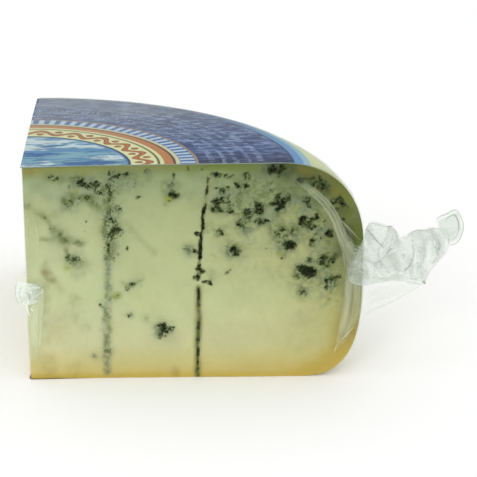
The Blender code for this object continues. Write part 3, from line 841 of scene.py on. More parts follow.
def mould_fields(along, height, colonies, pockets, clouds, marks, seed):
    """Mould, grey-green bloom, rust and pit depth at each place of a cut face."""
    flat = noise_places(along, height, seed * 0.37)
    wander, lumps = MOULD_WANDER
    warp_along = along + wander * fractal(flat, lumps, seed)
    warp_height = height + wander * fractal(flat, lumps, seed + 40)
    rough = fractal(flat, ROUGH_SIZE, seed + 80, 3)
    mould, bloom = np.zeros_like(along), np.zeros_like(along)

    def grow(place, half_length, half_breadth, tilt, darkness, shape):
        """Let mould grow over an ellipse, with bloom round it."""
        nonlocal mould, bloom
        darkest, narrow, power, halo, halo_reach = shape
        to_side, up = warp_along - place[0], warp_height - place[1]
        first = to_side * math.cos(tilt) + up * math.sin(tilt)
        second = up * math.cos(tilt) - to_side * math.sin(tilt)
        reach = np.hypot(first / half_length, second / half_breadth)
        mould = np.maximum(mould, darkest * darkness * np.exp(-(narrow * reach) ** power))
        bloom = bloom + halo * darkness * np.exp(-(reach / halo_reach) ** 2)

    for place, (half_length, half_breadth), tilt, *_, darkness in colonies:
        grow(place, half_length + COLONY_HEM, half_breadth + COLONY_HEM, tilt, darkness, COLONY_SHAPE)
    least, most = POCKET_STRETCH
    for number, (place, width, darkness) in enumerate(pockets):
        half = width * MM / 2
        stretch = least + (most - least) * ((number * GOLDEN_SHARE) % 1)
        grow(place, half * stretch, half / stretch ** 0.5, GOLDEN_TURN * number, darkness, POCKET_SHAPE)

    broad, fine = (fractal(flat, size, seed + 160 + 10 * number) for number, size in enumerate(MOTTLE_SIZES))
    low, high, finer = MOTTLE
    mottle = smoothstep(low, high, broad + finer * fine)
    least, more = CLOUD_BLOOM
    for place, width, strength in clouds:
        reach = np.hypot(along - place[0], height - place[1]) / (width * MM / 2)
        spread = smoothstep(*CLOUD_EDGE, reach + CLOUD_RAGGED * rough)
        bloom = bloom + strength * (least + more * mottle) * spread
    least, more = DUSK_BLOOM
    dusk = smoothstep(*DUSK_ALONG, along) * smoothstep(*DUSK_HEIGHT, height) * (least + more * mottle)
    bloom = bloom + (dusk + TOP_BLOOM * mottle * smoothstep(*MOTTLED_HEIGHT, height))
    freckled = np.clip(bloom - FRECKLED_BLOOM, 0.0, MOST_FRECKLED)
    mould, bloom, rust = add_needle_marks(mould, bloom, along, height, marks, rough, mottle, flat, seed)

    spatter = SPATTER * fractal(flat, SPATTER_SIZE, seed + 90, 4)
    mould = mould + spatter * smoothstep(*SPATTER_IN, mould) * smoothstep(*SPATTER_OUT, mould)
    freckles = smoothstep(*FRECKLE_NOISE, fractal(flat, FRECKLE_SIZE, seed + 130, 2))
    mould = np.maximum(mould, FRECKLE_DARKNESS * freckled * freckles)
    pit = PIT_DEEPEST * smoothstep(*PIT_MOULD, mould)
    return np.clip(mould, 0.0, MOST_MOULD), np.clip(bloom, 0.0, 1.0), rust, pit


def vein_field(along, height, veins, flat, seed):
    """Soft uneven veins along their ways."""
    field = np.zeros_like(along)
    wander, lumps = VEIN_WANDER
    wandering = along + wander * fractal(flat, lumps, seed)
    change, size = VEIN_BREADTH
    broad = 1.0 + change * fractal(flat, size, seed + 3, 2)
    mean, change, size = VEIN_STRENGTH
    uneven = np.clip(mean + change * fractal(flat, size, seed + 6, 3), *VEIN_LIMITS)
    for way, width, strength in veins:
        off = distance_to_way(wandering, height, way) / (width * MM / 2 * broad)
        field = np.maximum(field, strength * uneven * np.exp(-(off * VEIN_NARROWNESS) ** 2))
    return field


def face_outline():
    """The cut face's outline from the axis over the top and round to the base, as points."""
    over = wheel_columns(OUTLINE_CELL, OUTLINE_BENDS)
    under = over[::-1]
    return np.concatenate([np.stack([over, top_of(over)], -1), np.stack([under, base_of(under)], -1)])


def nearest_outline(along, height):
    """Distance from each place of a cut face to its outline, and the outline's nearest place."""
    outline = face_outline()
    gap = np.full(along.shape, 1.0)
    nearest = np.zeros((len(along), 2))
    for start, end in zip(outline[:-1], outline[1:]):
        run = end - start
        if not run.any():
            continue
        share = ((along - start[0]) * run[0] + (height - start[1]) * run[1]) / (run @ run)
        foot = start + np.clip(share, 0.0, 1.0)[:, None] * run
        distance = np.hypot(along - foot[:, 0], height - foot[:, 1])
        closer = distance < gap
        gap[closer] = distance[closer]
        nearest[closer] = foot[closer]
    return gap, nearest


def paste_colours(along, height):
    """Colour of the paste over a cut face, and how much it is the dried dark band under the rind."""
    share_up, share_out = height / WHEEL_HEIGHT, along / WHEEL_RADIUS
    colour = read_colours(PASTE_BY_HEIGHT, share_up) * read_stops(PASTE_BY_LENGTH, share_out)
    gap, nearest = nearest_outline(along, height)
    shoulder = smoothstep(*SHOULDER_ALONG, nearest[:, 0])
    middle = 0.5 * (top_of(nearest[:, 0]) + base_of(nearest[:, 0]))
    on_base = nearest[:, 1] < middle - BASE_BELOW_MIDDLE
    flat = noise_places(along, height)
    low, more = UNDER_BASE_REACH
    base_reach = low + more * smoothstep(*BASE_RIND_ALONG, nearest[:, 0])
    low, wide = UNDER_RIND_REACH
    reach = np.where(on_base, base_reach, low + (wide - low) * shoulder)
    wander, size = BAND_WANDER
    depth = gap * (1 + wander * fractal(flat, size, 77)) / reach
    near = smoothstep(*BAND_FADE, depth)[:, None]
    upper = smoothstep(*UNDER_TOP_FROM, share_up)[:, None]
    under = read_colours(UNDER_SIDE, share_up) * (1 - upper) + read_colours(UNDER_TOP, share_out) * upper
    mean, change, size = BAND_MOTTLE
    mottle = np.clip(mean + change * fractal(flat, size, 81), 0.0, 1.0)
    deep = DEEP_BAND * np.where(on_base, 0.0, shoulder * smoothstep(*DEEP_FROM, share_up))
    deep = deep * mottle * smoothstep(*DEEP_START, depth) * smoothstep(*DEEP_END, depth)
    colour = colour * (1 - near) + under * near
    return colour * (1 - deep[:, None]), near[:, 0]


def spots_field(along, height, spots, flat, seed):
    """Soft ragged spots, from rows of place, width and strength."""
    field = np.zeros_like(along)
    change, size = SPOT_RAGGED
    ragged = change * fractal(flat, size, seed, 3)
    for (spot_along, spot_height), width, strength in spots:
        reach = np.hypot(along - spot_along, height - spot_height) / (width * MM / 2)
        field = np.maximum(field, strength * smoothstep(*SPOT_EDGE, reach + ragged))
    return field


def cheese_rows():
    """Shares of the height of the cut faces' rows, closer in the mouldy upper part."""
    split = FINE_FROM * WHEEL_HEIGHT
    low = np.linspace(0.0, FINE_FROM, round(split / COARSE_ROW) + 1)
    high = np.linspace(FINE_FROM, 1.0, round((WHEEL_HEIGHT - split) / FINE_ROW) + 1)[1:]
    return np.concatenate([low, high])


def face_marks():
    """What is on each cut face: colonies, pockets, clouds, needle marks, veins, stains and ochres."""
    chance = np.random.default_rng(MOULD_SEED)
    colonies = colonies_on_cut(FRONT_COLONIES)
    pockets = colony_pockets(colonies, chance) + placed(FRONT_POCKETS)
    pockets += random_spots(SPECK_COUNT, *SPECK_RANGES, chance)
    veins = placed(FRONT_VEINS)
    front = (colonies, pockets, placed(FRONT_CLOUDS), placed(FRONT_NEEDLE_MARKS),
             veins + placed(NEEDLE_EDGES), placed(FRONT_STAINS), placed(FRONT_OCHRES))

    colonies = random_colonies(LEFT_MOULD_COUNT, chance)
    pockets = colony_pockets(colonies, chance) + random_spots(SPECK_COUNT, *SPECK_RANGES, chance)
    clouds = random_spots(LEFT_CLOUD_COUNT, *LEFT_CLOUD_RANGES, chance)
    marks = [(np.array(way) * MM, *rest) for way, *rest in LEFT_NEEDLE_MARKS]
    mirrored = [((LEFT_MIRROR, 0.0) + way * (-1, 1), *rest) for way, *rest in veins]
    return front, (colonies, pockets, clouds, marks, mirrored, (), ())


def make_cheese(material):
    """The cheese: one closed body with pitted cut faces and an uneven rind."""
    turns = np.linspace(0.0, CUT_ANGLE, CHEESE_TURNS + 1)
    columns = wheel_columns(PASTE_CELL, CHEESE_BENDS)
    points, faces, front, left = wedge_grid(columns, cheese_rows(), turns, 0.0, 0.0)
    names = ("mould", "bloom", "stain", "vein", "ochre", "cut")
    fields = {name: np.zeros(len(points)) for name in names}
    height = points[:, 2].copy()
    fields["paste"] = read_colours(RIND_BY_HEIGHT, height / WHEEL_HEIGHT)
    outer = smoothstep(*LUMPS_FROM, np.hypot(points[:, 0], points[:, 1]))
    depth, size = RIND_LUMPS
    lumps = depth * (fractal(points, size, 5) - 1) * smoothstep(0.0, LUMPS_ABOVE, height) * outer
    moved = away_from_axis(points) * lumps[:, None]

    seeds = (FRONT_SEED, LEFT_SEED)
    for ids, angle, marks, seed in zip((front, left), (0.0, CUT_ANGLE), face_marks(), seeds):
        spots, along, up, flat, outwards = read_face(points, ids, angle)
        *mouldy, veins, stains, ochres = marks
        mould, bloom, rust, pit = mould_fields(along, up, *mouldy, seed)
        wheel_along = along / oval(angle)
        edge_gap = np.minimum(up - base_of(wheel_along), top_of(wheel_along) - up)
        clear = smoothstep(0.0, PIT_HEM[0], edge_gap) * smoothstep(0.0, PIT_HEM[1], along)
        depth, size = CHIPS
        chipped = depth * smoothstep(CHIP_REACH, 0.0, up) * np.clip(fractal(flat, size, seed + 7), 0, 1.0)
        depth, size = WIRE_GRAIN
        dip = cut_dip(along, up, angle) + pit * clear + chipped
        dip += depth * (fractal(flat, size, seed + 9) + 1)
        moved[spots] -= outwards * dip[:, None]
        face_fields = {
            "mould": mould, "bloom": bloom, "cut": np.ones_like(along),
            "vein": vein_field(along, up, veins, flat, seed + 31),
            "stain": spots_field(along, up, stains, flat, seed + 21),
            "ochre": np.maximum(rust, spots_field(along, up, ochres, flat, seed + 23))}
        for name, values in face_fields.items():
            fields[name][spots] = np.maximum(fields[name][spots], values)
        fields["paste"][spots], under_rind = paste_colours(wheel_along, up)
        fields["bloom"][spots] *= 1 - UNDER_RIND_BLOOM * under_rind
    points = points + moved
    points[:, 2] = np.maximum(points[:, 2], 0.0)
    piece = make_piece("goat_cheese", points, tidy_faces(faces), [material], fields, CHEESE_CREASE_ANGLE)
    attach(piece, "root")
    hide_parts("cheese")


def cheese_material():
    """Moist paste with mould that is black in its middle and fades through green to grey."""
    graph = Graph("cheese_paste")
    cloud, grain, fine = (graph.noise(*noise) for noise in (CLOUDY, GRAIN, FINE))
    tone = graph.times(graph.scaled(cloud, *CLOUDY_TONE), graph.scaled(grain, *GRAINY_TONE))
    colour = graph.mix(1.0, graph.field("paste", "Color"), graph.grey(tone), "MULTIPLY")
    warm = graph.times(graph.patches(*WARM_PATCHES), WARM_SHARE)
    colour = graph.mix(warm, colour, WARM_GAIN, "MULTIPLY")

    soft, cool, uneven = (graph.patches(*noise) for noise in (SOFT_BLOOM, COOL_BLOOM, UNEVEN_OCHRE))
    for name, share, shade in (
            ("bloom", graph.scaled(soft, *BLOOM_SHARE), graph.mix(cool, *map(opaque, BLOOM_COLOURS))),
            ("ochre", graph.scaled(uneven, *OCHRE_SHARE), opaque(OCHRE_COLOUR)),
            ("stain", STAIN_SHARE, opaque(STAIN_COLOUR)),
            ("vein", graph.scaled(soft, *VEIN_SHARE), opaque(VEIN_COLOUR))):
        colour = graph.mix(graph.times(graph.field(name), share), colour, shade)

    field = graph.field("mould")
    spray = graph.scaled(graph.patches(*MOULD_SPRAY), *SPRAY)
    mould = graph.math("ADD", field, graph.times(spray, graph.smooth(field, *SPRAY_FROM)))
    for low, high, strength, shade in MOULD_STAGES:
        colour = graph.mix(graph.times(graph.smooth(mould, low, high), strength), colour, opaque(shade))

    relief = graph.math("ADD", graph.times(grain, GRAIN_RELIEF), graph.times(fine, FINE_RELIEF))
    relief = graph.math("SUBTRACT", relief, graph.smooth(mould, *SUNK_FROM))
    shader = graph.node("BsdfPrincipled", {
        "Base Color": colour, "Normal": graph.bump(relief, PASTE_RELIEF),
        "Roughness": graph.scaled(graph.times(grain, graph.field("cut")), *ROUGHNESS),
        "Specular IOR Level": graph.scaled(graph.smooth(mould, *DULL_FROM), *SHINE), **SCATTERING})
    return graph.finish(shader.outputs[0])


# ---------------------------------------------------------------- the label

LABEL_LIFT = 0.00012
LABEL_THICKNESS = 0.0003
LABEL_FIRST_RING = 0.002
LABEL_CELL = 0.0009
LABEL_TURNS = 150
LABEL_COCKLE = (0.00010, 0.016)         # depth and size
LABEL_CREASE_ANGLE = math.radians(40)
PAPER_EDGE_COLOURS = ((118, 134, 132), (164, 174, 160))
PRINT_BLUR = 0.00015            # half the width of a printed field's soft edge
NAVY = (40, 60, 108)
# Fields of the print from the axis outwards: outer radius, sRGB colour
LABEL_FIELDS = (
    (0.0405, (84, 134, 172)),
    (0.0415, (34, 58, 96)),
    (0.0515, (208, 210, 160)),
    (0.0525, (98, 94, 52)),
    (0.0540, (206, 208, 160)),
    (0.0575, (176, 118, 70)),
    (0.0585, (84, 58, 42)),
    (0.0600, (196, 194, 156)),
    (0.0660, (66, 100, 152)),
    (0.0670, (150, 130, 98)),
    (0.1032, NAVY),
    (0.1066, (96, 142, 184)),
    (0.1092, (140, 176, 192)),
)
# Where the blue edge starts, the turns in degrees between which it gives way to navy, and how much it does
EDGE_BAND = (0.1027, 25.0, 50.0, 0.85)
EDGE_BLUR = (0.0004, 0.0006)    # outwards and inwards from where it starts
NAVY_START = (0.0672, 0.0676)
SKY_EDGE = 0.0400
SKY_BLUR = 0.0006
DEEP_COLOUR = (34, 78, 132)
# Patches in the sky: size in metres, stretch, roughness, noise from and to, strength, sRGB colour
SKY_PATCHES = (
    (0.014, (0.5, 1.4, 1.0), 0.62, 0.52, 0.58, 0.70, DEEP_COLOUR),
    (0.009, (0.5, 1.8, 1.0), 0.62, 0.50, 0.55, 0.80, (126, 168, 180)),
    (0.015, (0.5, 1.3, 1.0), 0.62, 0.485, 0.535, 0.90, (196, 212, 212)),
    (0.004, (0.4, 2.2, 1.0), 0.62, 0.56, 0.62, 0.70, DEEP_COLOUR),
)
# The scroll on the cream field: middle radius, swing, half thickness, waves in a whole turn
SCROLL = (0.0465, 0.0023, 0.00085, 22)
SCROLL_BLUR = (0.0002, 0.0003)  # of its line and of its beads
# The scroll is drawn twice: thickness over its own, sRGB colour
SCROLL_COATS = (
    (1.6, (104, 62, 40)),
    (1.0, (172, 104, 58)),
)
# The row of upright blocks: middle radius, half height, blocks in a whole turn
BLOCKS = (0.0630, 0.0029, 92)
BLOCK_WIDTH = (0.28, 0.22)      # half of it with and without its soft edge, as a share of the step
BLOCK_COLOUR = (186, 204, 220)
BLOCK_INK = 0.85
BLOCK_BLUR = 0.0003
# Rows of small pale dashes on the dark field: radius, half height, dashes in a whole turn, share filled
DASH_ROWS = (
    (0.0722, 0.0011, 250, 0.50),
    (0.0768, 0.0008, 330, 0.55),
    (0.0812, 0.0011, 230, 0.45),
    (0.0860, 0.0008, 400, 0.50),
    (0.0905, 0.0011, 270, 0.55),
)
DASH_COLOUR = (160, 176, 208)
DASH_INK = (0.0030, 0.42, 0.56, 0.70)   # size of its patches in metres, noise from and to, strength
DASH_BLUR = (0.08, 0.0002)      # along the row, as a share of the step, and across it
# Painted shade that darkens the dark field along the front cut: its inner and outer reach, strength, sRGB
# colour
FRONT_PAINTED_SHADE = (0.018, 0.003, 0.80, (20, 32, 66))
# Brush strokes on the dark field, given like the sky's patches
BRUSH_STROKES = (
    (0.0060, (0.7, 1.3, 1.0), 0.70, 0.46, 0.60, 0.50, (70, 98, 148)),
    (0.0032, (0.5, 2.0, 1.0), 0.70, 0.50, 0.58, 0.72, (136, 156, 192)),
    (0.0026, (0.6, 1.8, 1.0), 0.70, 0.55, 0.62, 0.70, (20, 34, 72)),
)
FIBRE_SIZE = 0.0012
PAPER_RELIEF = (0.006, (1.0, 1.6, 1.0), 0.0002)     # size, stretch, depth


class Print(Graph):
    """A printed paper's material: a colour that shades are laid over, ring by ring."""

    def __init__(self, name, ground):
        super().__init__(name)
        self.ring = self.field("ring")
        self.turn = self.field("turn")
        self.colour = opaque(ground)

    def ramp(self, value, low, high):
        """Map low..high to 0..1, or to 1..0 where low is the larger."""
        inputs = {"Value": value, "From Min": min(low, high), "From Max": max(low, high)}
        if low > high:
            inputs.update({"To Min": 1.0, "To Max": 0.0})
        return self.node("MapRange", inputs).outputs[0]

    def off(self, value, middle):
        """How far a value is from the middle."""
        return self.math("ABSOLUTE", self.math("SUBTRACT", value, middle))

    def beat(self, count):
        """0 to 1 again and again round the wheel."""
        return self.math("FRACT", self.times(self.turn, count))

    def paint(self, share, shade):
        """Lay a plain sRGB shade over the colour."""
        self.colour = self.mix(share, self.colour, opaque(shade))

    def paint_patches(self, rows, where):
        """Lay patches of noise over the colour, inside a share of 0 to 1."""
        for size, stretch, roughness, low, high, strength, shade in rows:
            patch = self.ramp(self.noise(size, 4.0, stretch, roughness), low, high)
            self.paint(self.times(patch, where, strength), shade)

    def paint_scroll(self):
        """Draw the waving scroll, with a bead in each of its bends."""
        middle, swing, half, waves = SCROLL
        wave = self.math("SINE", self.times(self.turn, 2 * math.pi * waves))
        scroll_off = self.off(self.ring, self.scaled(wave, swing, middle))
        along = self.times(self.off(self.beat(2 * waves), 0.5), math.pi * middle / waves)
        up = self.math("ADD", self.math("SUBTRACT", self.ring, middle), self.times(wave, 0.9 * swing))
        bead_off = self.math("SQRT", self.math("ADD", self.times(along, along), self.times(up, up)))
        for thickness, shade in SCROLL_COATS:
            reach = thickness * half
            self.paint(self.math("MAXIMUM", self.ramp(scroll_off, reach + SCROLL_BLUR[0], reach),
                                 self.ramp(bead_off, reach + SCROLL_BLUR[1], reach)), shade)

    def paint_blocks(self):
        """Draw the row of upright blocks."""
        middle, half, count = BLOCKS
        across = self.ramp(self.off(self.beat(count), 0.5), *BLOCK_WIDTH)
        up = self.ramp(self.off(self.ring, middle), half, half - BLOCK_BLUR)
        self.paint(self.times(across, up, BLOCK_INK), BLOCK_COLOUR)

    def paint_dark_field(self):
        """Let the navy field take up the blue edge at the left, draw its strokes, and lay painted shade along
        its front.
        """
        start, full, gone, share = EDGE_BAND
        blur_out, blur_in = EDGE_BLUR
        faded = self.times(self.ramp(self.ring, start, start + blur_out),
                           self.ramp(self.turn, full / 360, gone / 360))
        self.paint(self.times(faded, share), NAVY)
        field = self.times(self.ramp(self.ring, *NAVY_START), self.ramp(self.ring, start, start - blur_in))
        on_navy = self.math("MAXIMUM", faded, field)
        self.paint_patches(BRUSH_STROKES, on_navy)
        # Painted shade: the navy is darker near the front cut, by the distance in the front field
        inner, outer, strength, shade = FRONT_PAINTED_SHADE
        self.paint(self.times(self.ramp(self.field("front"), inner, outer), on_navy, strength), shade)

    def paint_dashes(self):
        """Draw the rows of small dashes, with uneven ink."""
        size, low, high, strength = DASH_INK
        ink = self.times(self.ramp(self.noise(size), low, high), strength)
        blur_along, blur_up = DASH_BLUR
        for radius, half, dashes, filled in DASH_ROWS:
            length = filled / 2
            dash = self.ramp(self.off(self.beat(dashes), 0.5), length + blur_along, length - blur_along)
            row = self.ramp(self.off(self.ring, radius), half + blur_up, half - blur_up)
            self.paint(self.times(self.times(dash, row), ink), DASH_COLOUR)


def label_material():
    """Printed paper: rings of colour with plain ornaments, and painted shade along the front cut."""
    paper = Print("label_print", LABEL_FIELDS[0][1])
    for (inner, _), (_, shade) in zip(LABEL_FIELDS, LABEL_FIELDS[1:]):
        paper.paint(paper.ramp(paper.ring, inner - PRINT_BLUR, inner + PRINT_BLUR), shade)
    paper.paint_patches(SKY_PATCHES, paper.ramp(paper.ring, SKY_EDGE, SKY_EDGE - SKY_BLUR))
    paper.paint_scroll()
    paper.paint_blocks()
    paper.paint_dark_field()
    paper.paint_dashes()
    fibres = paper.grey(paper.scaled(paper.noise(FIBRE_SIZE), 0.24, 0.86))
    size, stretch, depth = PAPER_RELIEF
    shader = paper.node("BsdfPrincipled", {
        "Base Color": paper.mix(1.0, paper.colour, fibres, "MULTIPLY"), "Roughness": 0.60,
        "Normal": paper.bump(paper.noise(size, stretch=stretch), depth), "Specular IOR Level": 0.05})
    return paper.finish(shader.outputs[0])


def paper_edge_material():
    """Bare paper at the label's cut edge, dulled by the film over it."""
    graph = Graph("label_paper_edge")
    fibre = graph.noise(0.0006)
    shader = graph.node("BsdfPrincipled", {
        "Base Color": graph.mix(fibre, *map(opaque, PAPER_EDGE_COLOURS)), "Roughness": 0.7,
        "Normal": graph.bump(fibre, 0.00004), "Specular IOR Level": 0.1})
    return graph.finish(shader.outputs[0])


def make_label(print_material, edge_material):
    """The paper label: a thin closed sheet that follows the top, a little cockled."""
    rings = np.linspace(LABEL_FIRST_RING, LABEL_RADIUS, round(LABEL_RADIUS / LABEL_CELL))
    turns = np.linspace(0.0, CUT_ANGLE, LABEL_TURNS + 1)
    radius, turn = np.meshgrid(np.concatenate([[0.0], rings]), turns, indexing="ij")
    reach = radius * oval(turn)
    flat = np.stack([reach * np.cos(turn), reach * np.sin(turn), 0 * reach], -1)
    depth, size = LABEL_COCKLE
    lift = top_of(radius) + LABEL_LIFT + depth * (fractal(flat, size, 71) + 1)
    under = flat + np.stack([0 * lift, 0 * lift, lift], -1)
    upper = under + np.array((0.0, 0.0, LABEL_THICKNESS))
    ids = np.arange(radius.size).reshape(radius.shape)
    ids[0] = ids[0, 0]
    top = ids + radius.size
    printed = tidy_faces(np.concatenate([quads(top), quads(ids)[:, ::-1]]))
    edge = []
    for low, high in ((ids[:, 0], top[:, 0]), (ids[::-1, -1], top[::-1, -1]), (ids[-1], top[-1])):
        edge += np.stack([low[:-1], low[1:], high[1:], high[:-1]], -1).tolist()
    points = np.concatenate([under.reshape(-1, 3), upper.reshape(-1, 3)])
    fields = {"ring": radius, "turn": turn / (2 * math.pi), "front": flat[..., 1]}
    fields = {name: np.tile(values.ravel(), 2) for name, values in fields.items()}
    piece = make_piece("paper_label", points, printed + edge, [print_material, edge_material], fields,
                       LABEL_CREASE_ANGLE)
    slots = np.repeat([0, 1], [len(printed), len(edge)]).astype(np.int32)
    piece.data.polygons.foreach_set("material_index", slots)
    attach(piece, "root")
    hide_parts("label")


# ---------------------------------------------------------------- the film

FILM_LIFT = 0.00022             # off the cut faces
FILM_OVER_LABEL = 0.00075
FILM_OVER_RIND = 0.00030
FILM_CLING = 0.75               # share of the cut faces' waves that the film follows
FILM_CELL = 0.0008
FILM_HEM = 0.0004
FILM_TURNS = 120
FILM_BENDS = 36
FILM_SLACK = (0.00009, 0.008)   # depth and size of the film's waves over the cut faces
SLACK_FROM = 0.004              # from the axis, where those waves are whole
LABEL_STEP = (0.004, 0.0005)    # past the label's border, where the film is down and where it starts down
RIM_CREASES = (0.0005, 0.011, 7)        # height, size and sharpness of the pulled film's creases
CREASE_STRETCH = (1.0, 1.0, 0.28)
RIM_ALONG = (0.104, 0.128)
TOP_FROM = (0.060, 0.078)
TOP_SHEEN = 0.38                # painted sheen: milky haze laid on the film at the far side of the top, standing for the film's reflection there
SHEEN_BACK = (0.016, 0.115)     # from the front cut backwards
SHEEN_CLOUDS = (0.5, 0.016, (0.4, 1.0, 1.0))        # strength, size, stretch
THIN_HAZE = 0.004
CREASE_HAZE = 0.20
CREASE_SHADE = 0.10
MOST_SHEEN = 0.9
TOP_GLINT = 0.5
COVER_CREASE_ANGLE = math.radians(60)
CRUMPLE_CREASE_ANGLE = math.radians(38)
MOST_HAZE = 0.95
MOST_DARK = 0.95

SHEET_STAND = 0.0003            # of slack sheets off the film that is tight over the cut
FRONT_FOLD_STAND = 0.0007       # of folds off the same
LEVEL_STAND = 0.0016            # of the tail's thin parts off the cut's plane
TAIL_STAND = 0.003              # how far in front of the cut the tail's places in the photo are taken to be
FOLD_STAND = 0.001              # and those of the other folds and sheets
# A fold is a narrow ribbon, streaked along its way
RIBBON_STEP = 0.0005
RIBBON_ROWS = 11
RIBBON_GAP = 0.0002             # over the film that it lies on
RIBBON_UNEVENNESS = (0.22, 0.004)       # of its width: strength and size
FOLD_RISE = 0.00025
FOLD_ENDS = (0.18, 0.82)        # shares of its way where it is whole
FOLD_POWER = 1.2                # of its whiteness across it
FOLD_STREAKS = (0.95, 0.45)     # its whiteness: the mean, and how much the streaks change it
STREAK_WIDTH = 0.00035
STREAK_LENGTH = 0.006
HIGHLIGHT = 0.15                # a fold whiter than this has its painted shade on one side, beside its highlight
SHADE_SIDE = (0.7, 0.22)        # place and breadth of that shade, in half widths
SHEET_GRID = (80, 40)
SHEET_STREAKS = (6.0, 2.2)      # across and along
SHEET_RELIEF = 0.0002
SHEET_ACROSS = (0.20, 0.80)     # shares of its breadth, and of its length, where it is whole
SHEET_ALONG = (0.25, 0.70)
SHEET_STREAKED = (0.12, 0.35, 0.4)      # how much the streaks change its shade, whiteness and brightness

CREST_LIMIT = 0.0036            # the furthest that a gathered layer's crumples stand out of it
GATHER_BACK = -0.0002           # the furthest back that a gathered layer's ground goes
GATHER_GAP = 0.0005
JAGS = (0.0004, 0.004)          # depth and size of a gathered layer's jagged borders
JAG_REACH = 0.1                 # share of its height
JAGS_FROM = (0.1, 0.3)          # shares of its length, from its root
SWAY = (0.0016, 0.009)          # how far its creases bend, and over what lumps
CRUMPLES = (0.95, 0.55, 3)      # slope of its creases, slope of the finer ones, and how much finer they are
CREASED_FROM = (0.03, 0.30)     # shares of its length between which the creases, and the finer ones, fade in
FINE_CREASED_FROM = (0.05, 0.25)
PLEATS = (4.5, 0.016, 0.16)     # their number, size of their wander, and height as a share of the thickness
PLEAT_WANDER = 0.5              # in pleats
PLEAT_SLANT = 0.3               # in pleats, from its root to its end
PLEATS_TO = (0.75, 0.15)        # shares of its length where they end, and where they are whole
BULGE = (0.30, 0.75, 0.25)      # share of its length where it is thick, and shares of that and of its middle
ROOT_WHITER = 0.45
ROOT_TO = (0.30, 0.06)          # shares of its length where the white root ends, and where it is whole
ROOT_UP_TO = (0.85, 0.40)       # the same in shares of its height
ROOT_SHADELESS = 0.8
SHARP_BEND = 0.00022
GATHER_SHADE = (0.06, 0.26, 0.26)       # the film's own tint all over, then painted shade in valleys and on slopes that face the root
SHADE_SLOPES = (0.05, 0.8)
GLINT_SLOPES = (0.1, -0.7)
GLINTS = (0.5, 0.5)             # painted highlight: how much brighter slopes the other way are, and crests
GATHER_CLOUDS = (0.28, 0.010)   # strength and size
# Painted highlight: milky whiteness added on crests
CREST_HAZE = 0.25

# Each film's material: share of its mirror, darkness where seen edge on, depth of its creases in metres, and
# sRGB colours of its milky parts where dull and where bright
FILM_LOOKS = (
    ("clear_film", 0.14, 0.10, 0.00010, (208, 220, 206), (250, 253, 248)),
    ("slack_film", 0.14, 0.10, 0.00010, (196, 206, 168), (240, 244, 216)),
    ("gathered_film", 0.45, 0.35, 0.00003, (208, 220, 206), (250, 253, 248)),
)
FILM_CREASES = (0.0030, 3.0, (1.0, 1.0, 0.35), 0.6)     # size, detail, stretch, roughness
SEEN_EDGE_ON = (0.55, 0.98)
FRESNEL = (5.0, 0.96, 0.04)     # power, how much more mirror seen edge on, and the mirror seen straight
LET_THROUGH = 0.4               # share of the light that milky film lets through
CLEAR_TINT = (0.988, 0.994, 0.986, 1.0)
DARK_TINT = (0.30, 0.36, 0.31, 1.0)

# Folds and sheets of the film. Their places are read in the photo, in pixels, and widths are in mm.

# Folds on the front face: way, width or widths at its start and end, whiteness, painted shade
# Whiteness is milky film, and in the whitest short folds a painted glint
FRONT_FOLDS = (
    (((291, 177), (302, 186), (312, 195), (321, 204), (328, 213), (333, 222), (338, 236)), (.6, 1.6), .22,
     .08),
    (((333, 224), (337, 234), (341, 246), (344, 259), (345, 272)), .9, .26, .05),
    (((336, 218), (343.5, 222.8), (350, 229.4), (356, 236), (362.5, 242)), .6, .38, .12),
    (((341, 222), (347, 228), (352, 236)), .4, .40, .0),
    (((340, 223), (345, 231), (350, 243)), 1.6, .10, .06),
    (((344, 232), (348, 244), (352, 256)), .9, .16, .0),
    (((354, 249), (357, 250), (361, 252)), .6, .95, .0),
    (((353, 254), (357, 253), (361, 255)), .5, .80, .0),
    (((347, 284), (347.5, 300), (346, 320), (342, 342)), 1.6, .16, .0),
    (((351.5, 284), (352, 300), (350, 320)), 1.2, .0, .12),
    (((357, 284), (357, 300), (355, 318)), 1.8, .14, .0),
    (((334, 356), (335, 350), (338, 344), (343, 338.5), (348, 333), (354, 326.5)), .6, .50, .0),
    (((318, 271.5), (327, 271), (336, 271.5), (345, 271.5)), .5, .22, .0),
    (((324, 269), (333, 268), (344, 269)), .4, .14, .0),
    (((36, 212), (35, 226), (38, 240), (36, 262)), .9, .18, .0),
    (((28, 218), (27, 234), (28, 252)), 1.2, .20, .0),
)
# Sheets of slack film on the front face: left border, right border, whiteness at the top and the bottom,
# brightness
# A brightness near 1 stands partly for painted highlights on the slack film
FRONT_SHEETS = (
    (((290, 178), (303, 188), (313, 197), (322, 206), (328, 215), (333, 226), (338, 239), (342, 252),
      (345, 266)),
     ((293, 174), (308, 183), (320, 192), (330, 201), (338, 212), (344, 225), (349, 238), (354, 250),
      (357, 262)),
     (.30, .44), .55),
    (((340, 235), (342, 252), (345, 272), (345, 296)),
     ((349, 232), (358, 250), (365, 270), (363, 292)), (.44, .44), .55),
    (((343, 268), (342, 292), (339, 318), (334, 354)),
     ((365, 268), (364, 292), (361, 318), (349, 338), (337, 354)), (.46, .36), .65),
    (((25, 279), (27, 298), (28, 322), (29, 345), (30.5, 368)),
     ((47, 279), (46, 298), (44, 322), (42, 345), (41, 368)), (.80, .44), 1.0),
)
